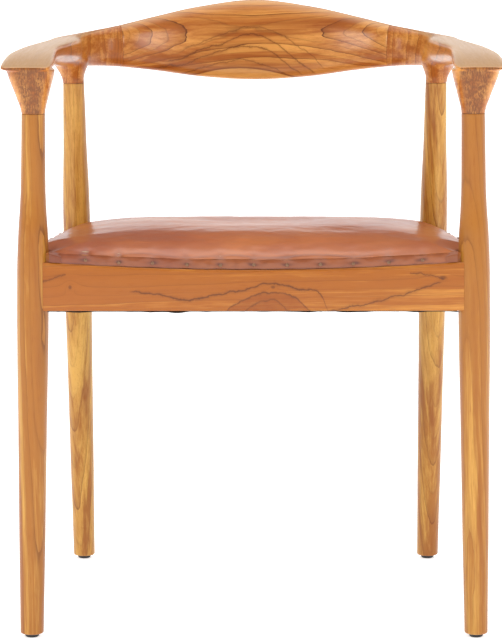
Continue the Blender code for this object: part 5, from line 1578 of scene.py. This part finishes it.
class OBJECT_OT_chair_tacks(bpy.types.Operator):
    """Drive the tacks through the strips on all four sides"""
    bl_idname = "object.chair_tacks"
    bl_label = "Tacks"

    def execute(self, context):
        sizes = context.scene.chair_sizes
        rng = random.Random(SEED + 1)
        places = []
        for line in LINES.values():
            for along in tack_places(line):
                spot = line.place(along + rng.uniform(-TACK_PLAY, TACK_PLAY),
                                  line.face() + FIT + GIMP_THICKNESS + LIFT)
                height = float(lip(spot.x, spot.y)) + sizes.gimp_height * rng.uniform(0.40, 0.52)
                places.append((sloped(spot.x, spot.y, height), Vector((*line.outward, 0)),
                               Vector((*line.along, 0))))
        rings = []
        for angle in TACK_RING_ANGLES:
            a = math.radians(angle)
            rings.append([(sizes.tack_radius * math.cos(a) * math.cos(t),
                           sizes.tack_radius * math.cos(a) * math.sin(t),
                           sizes.tack_dome * math.sin(a)) for t in turns(TACK_POINTS)])
        metal = plain_finish("oxidised_brass", context.scene.chair_colours.tack, 0.42, 1600, 0.5,
                             metallic=1.0)
        obj = scattered("seat_tacks", places, rings, TACK_TILT, metal)
        finish_piece(obj, metal, "brass", *[f"front_tack_{i + 1:02d}" for i in range(TACK_COUNT)])
        return {"FINISHED"}


# What the seat hides

STRAP_WIDTH = 0.050
STRAP_THICKNESS = 0.0018
STRAP_PITCH = 0.100
STRAP_COUNT = 3
STRAP_INSET = 0.008
STRAP_END = 0.03             # the weave dies out over this length
STRAP_STEPS = 120
STRAP_SECTION_SHARES = ((-0.5, 0), (-0.48, 0.5), (-0.5, 1), (0, 1.0), (0.5, 1), (0.48, 0.5), (0.5, 0), (0, 0))
DUST_INSET = 0.0028
DUST_LEG_ROOM = 0.002
DUST_THICKNESS = 0.0005
DUST_RINGS = 25
# The cover sags from behind its stapled edge, where it flutters
DUST_SAG = 0.0035
DUST_FLAT_EDGE = 0.018
DUST_SAG_REACH = 0.12
DUST_FLUTTER = 0.0024
DUST_FLUTTER_REACH = 0.012
STAPLE_END_ROOM = 0.034
STAPLE_INSET = 0.0085
STAPLE_DROP = 0.0010
STAPLE_TILT = math.radians(4)
STAPLE_WIRE = 0.00035
STAPLE_HALF_CROWN = 0.0050
STAPLE_LEG = 0.0012
STAPLE_SIDES = 6


def strap_mesh(name, lengthwise, index):
    """A webbing strap, woven over and under those that cross it in soft waves."""
    half_span = STRAP_PITCH * (STRAP_COUNT - 1) / 2
    offset = STRAP_PITCH * index - half_span
    if lengthwise:
        start = FRONT_AT_SEAT.y - LINES["front"].face() + STRAP_INSET
        end = BACK_AT_SEAT.y + LINES["back"].face() - STRAP_INSET
    else:
        end = half_width(SEAT_MIDDLE.y + offset) + LINES["right"].face() - STRAP_INSET - LINES["right"].inner
        start = -end
    sign = 1 if index % 2 == (0 if lengthwise else 1) else -1
    rings = []
    for step in range(STRAP_STEPS + 1):
        along = mix(start, end, step / STRAP_STEPS)
        crossed = along - (SEAT_MIDDLE.y if lengthwise else 0.0)
        wave = math.cos(math.pi * (crossed + half_span) / STRAP_PITCH)
        inside = min(1.0, (along - start) / STRAP_END, (end - along) / STRAP_END)
        lift = sign * wave * (STRAP_THICKNESS / 2 + FIT) * inside
        ring = []
        for across, up in STRAP_SECTION_SHARES:
            place = offset + across * STRAP_WIDTH
            x, y = (place, along) if lengthwise else (along, SEAT_MIDDLE.y + place)
            height = float(lip(x, y)) + UPSTAND + FIT + lift + up * STRAP_THICKNESS + STRAP_THICKNESS * 0.2
            ring.append(sloped(x, y, height))
        rings.append(ring)
    return lofted(name, rings)


class OBJECT_OT_chair_inside(bpy.types.Operator):
    """Finish what the seat hides: webbing, corner blocks, screws and loose tenons"""
    bl_idname = "object.chair_inside"
    bl_label = "Inner pieces"

    def execute(self, context):
        colours = context.scene.chair_colours
        jute = woven("woven_jute", colours.jute, 0.0022)
        for index in range(STRAP_COUNT):
            for lengthwise, where in ((True, "lengthwise"), (False, "crosswise")):
                node = f"{where}_strap_{index + 1}"
                obj = add_object(f"{node}_woven", strap_mesh(f"{node}_woven", lengthwise, index))
                finish_piece(obj, jute, "webbing", node)
        steel = plain_finish("zinc_plated_steel", colours.steel, 0.34, 500, 0.2, metallic=1.0)
        hidden = teak("sawn_teak_block", "X", pith=(-0.3, 0.3), figure=0.6, seed=4.4)
        for name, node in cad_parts.items():
            if name.endswith("_screw"):
                paint(node, steel)
            elif name.endswith(("_corner_block", "_crest_tenon")):
                paint(node, hidden)
        return {"FINISHED"}


def paint(node, material):
    """Assigns a material to every slot of a node that the frame keeps."""
    for slot in node.material_slots:
        slot.material = material


class OBJECT_OT_chair_dust_cover(bpy.types.Operator):
    """Stretch black cotton under the seat frame and staple it to the rails"""
    bl_idname = "object.chair_dust_cover"
    bl_label = "Dust cover"

    def execute(self, context):
        outline = seat_outline(DUST_INSET, DUST_LEG_ROOM, RAIL_BOTTOM_Z)
        plan = plan_of(outline)
        level = RAIL_BOTTOM_Z - FIT - LIFT
        rows = []
        for k in range(DUST_RINGS + 1):
            ring = mix(plan, MIDDLE, 0.94 * (k / DUST_RINGS) ** 1.2)
            gap = edge_distances(ring, outline)
            sag = DUST_SAG * np.clip((gap - DUST_FLAT_EDGE) / DUST_SAG_REACH, 0, 1) ** 0.7
            ripple = np.array([noise.noise(Vector((p[0] * 38, p[1] * 38, 3.0))) for p in ring])
            flutter = DUST_FLUTTER * np.maximum(0, ripple) * np.clip(1 - gap / DUST_FLUTTER_REACH, 0, 1)
            rows.append(np.column_stack((ring, level - sag - flutter)))
        hub = np.array((*MIDDLE, level - DUST_SAG))
        obj = thickened(add_object("dust_cover_cotton", skin_of(rows, hub, "dust_cover_cotton")),
                        DUST_THICKNESS)
        cotton = woven("black_cotton", context.scene.chair_colours.cotton, 0.0009)
        finish_piece(obj, cotton, "cloth", "dust_cover", sharp=60)
        staples = staple_piece()
        return {"FINISHED"}


def staple_piece():
    """Wire staples along the cover's edge, crown down."""
    scene = bpy.context.scene
    places = []
    for line in LINES.values():
        half = line.length / 2 - STAPLE_END_ROOM
        count = int(2 * half / scene.chair_sizes.staple_pitch)
        for i in range(count + 1):
            spot = line.place(mix(-half, half, i / count), line.outer - STAPLE_INSET)
            point = sloped(spot.x, spot.y, RAIL_BOTTOM_Z - FIT - STAPLE_DROP)
            places.append((point, Vector((0, 0, -1)), Vector((*line.along, 0))))
    wire, crown, leg = STAPLE_WIRE, STAPLE_HALF_CROWN, STAPLE_LEG
    path = [(-crown, -leg), (-crown, -wire), (-crown + wire, 0), (crown - wire, 0), (crown, -wire),
            (crown, -leg)]
    rings = []
    for i, (x, z) in enumerate(path):
        ahead = Vector(path[min(i + 1, len(path) - 1)]) - Vector(path[max(i - 1, 0)])
        normal = Vector((-ahead.y, ahead.x)).normalized()
        rings.append([(x + normal.x * wire * math.cos(a), wire * math.sin(a),
                       z + normal.y * wire * math.cos(a))
                      for a in turns(STAPLE_SIDES)])
    steel = plain_finish("staple_steel", scene.chair_colours.steel, 0.34, 500, 0.2, metallic=1.0)
    return finish_piece(scattered("dust_cover_staples", places, rings, STAPLE_TILT, steel), steel, "steel")


# Studio

CAMERA_PLACE = (-0.0046, -4.07058, 0.957)
CAMERA_PITCH = math.radians(8.29)
CAMERA_SWING = math.radians(0.385)   # the photographer stood a little to the right
CAMERA_ROLL = math.radians(-0.10)
PHOTO_HEIGHT_PX = 640
FOCAL_PX = 3167.0            # the photograph's focal length in its own pixels
SENSOR = 36.0
FLOOR_RADIUS = 60.0
FLOOR_GLOW = 0.66            # keeps the floor pale between the lamps
LAMP_AIM = Vector((0, 0, 0.55))
SOFTBOXES = (
    ("right_softbox", (1.50, -3.1, 1.85), (0.65, 0.85), 21.0),
    ("left_softbox", (-1.50, -3.1, 1.85), (0.65, 0.85), 22.0),
    ("right_side_softbox", (2.9, -1.35, 1.35), (0.6, 1.0), 8.5),
    ("left_side_softbox", (-2.9, -1.35, 1.35), (0.6, 1.0), 9.5),
)
# Shares of the way from front to back, and of the backdrop's power there
BACKDROP_SHARES = ((0.0, 0.13), (0.40, 0.16), (0.62, 0.40), (0.68, 1.0), (0.77, 1.0), (0.83, 0.50),
                   (1.0, 0.62))
BACKDROP_POWER = 2.0
# Shares of the way up, and of the overhead light's power there
OVERHEAD_SHARES = ((0.20, 0.0), (0.22, 0.05), (0.66, 0.05), (0.82, 1.0))
OVERHEAD_POWER = 2.3


class OBJECT_OT_chair_stage(bpy.types.Operator):
    """Set up a plain pale floor, soft studio light and the camera"""
    bl_idname = "object.chair_stage"
    bl_label = "Studio"

    def execute(self, context):
        scene = context.scene
        bm = bmesh.new()
        bmesh.ops.create_circle(bm, cap_ends=True, segments=64, radius=FLOOR_RADIUS)
        floor = add_object("studio_floor", mesh_of(bm, "studio_floor"))
        material, shader, _ = new_material("pale_floor")
        set_inputs(shader, {"Base Color": (*scene.chair_colours.floor, 1), "Roughness": 0.9,
                            "Specular IOR Level": 0.1, "Emission Color": (1, 1, 1, 1),
                            "Emission Strength": FLOOR_GLOW})
        floor.data.materials.append(material)

        world = bpy.data.worlds.new("studio")
        scene.world = world
        world.use_nodes = True
        tree = world.node_tree
        add = partial(add_node, tree)
        way = add("ShaderNodeTexCoord")["Generated"]
        parts = add("ShaderNodeSeparateXYZ", {0: way})
        # A lit backdrop low down with a bright strip at either side, dim walls above, a soft light overhead
        low = add("ShaderNodeMapRange", {0: parts["Z"], 1: 0.185, 2: 0.215, 3: 1.0, 4: 0.0})[0]
        backdrop = add("ShaderNodeMapRange", {0: parts["Y"], 1: -1.0, 2: 1.0})[0]
        backdrop = add("ShaderNodeValToRGB", {"Fac": backdrop}, stops=BACKDROP_SHARES)[0]
        backdrop = add("ShaderNodeMath", {0: backdrop, 1: low}, operation="MULTIPLY")[0]
        overhead = add("ShaderNodeValToRGB", {"Fac": parts["Z"]}, stops=OVERHEAD_SHARES)[0]
        power = add("ShaderNodeMath", {0: backdrop, 1: BACKDROP_POWER}, operation="MULTIPLY")[0]
        power = add("ShaderNodeMath", {0: overhead, 1: OVERHEAD_POWER, 2: power}, operation="MULTIPLY_ADD")[0]
        set_inputs(tree.nodes["Background"], {"Strength": power, "Color": (1, 1, 1, 1)})

        for name, place, size, power in SOFTBOXES:
            light = bpy.data.lights.new(name, "AREA")
            light.shape = "RECTANGLE"
            light.size, light.size_y = size
            light.energy = power
            lamp = add_object(name, light)
            lamp.location = place
            lamp.rotation_euler = (LAMP_AIM - Vector(place)).to_track_quat("-Z", "Y").to_euler()

        lens = bpy.data.cameras.new("camera")
        lens.sensor_fit = "AUTO"
        lens.sensor_width = SENSOR
        lens.lens = FOCAL_PX * SENSOR / PHOTO_HEIGHT_PX
        camera = add_object("camera", lens)
        camera.matrix_world = (Matrix.Rotation(CAMERA_SWING, 4, "Z") @ Matrix.Translation(CAMERA_PLACE)
                               @ Matrix.Rotation(math.pi / 2 - CAMERA_PITCH, 4, "X")
                               @ Matrix.Rotation(CAMERA_ROLL, 4, "Z"))
        scene.camera = camera
        scene.view_settings.view_transform = "Standard"
        return {"FINISHED"}


class VIEW3D_PT_chair(bpy.types.Panel):
    """Everything that builds the armchair"""
    bl_idname = "VIEW3D_PT_chair"
    bl_label = "Armchair"
    bl_space_type = "VIEW_3D"
    bl_region_type = "UI"
    bl_category = "Armchair"

    def draw(self, context):
        layout = self.layout
        for operator in OPERATORS:
            layout.operator(operator.bl_idname)
        for group in (context.scene.chair_sizes, context.scene.chair_colours):
            box = layout.box()
            for name in group.__annotations__:
                box.prop(group, name)


OPERATORS = (OBJECT_OT_chair_stage, OBJECT_OT_chair_legs, OBJECT_OT_chair_arms, OBJECT_OT_chair_crest,
             OBJECT_OT_chair_rails, OBJECT_OT_chair_seat, OBJECT_OT_chair_strips, OBJECT_OT_chair_tacks,
             OBJECT_OT_chair_inside, OBJECT_OT_chair_dust_cover)
CLASSES = (ChairSizes, ChairColours, *OPERATORS, VIEW3D_PT_chair)


def register():
    for cls in CLASSES:
        bpy.utils.register_class(cls)
    bpy.types.Scene.chair_sizes = PointerProperty(type=ChairSizes)
    bpy.types.Scene.chair_colours = PointerProperty(type=ChairColours)


def unregister():
    del bpy.types.Scene.chair_sizes
    del bpy.types.Scene.chair_colours
    for cls in reversed(CLASSES):
        bpy.utils.unregister_class(cls)


def main():
    register()
    for operator in OPERATORS:
        group, name = operator.bl_idname.split(".")
        getattr(getattr(bpy.ops, group), name)()


if __name__ == "__main__":
    main()
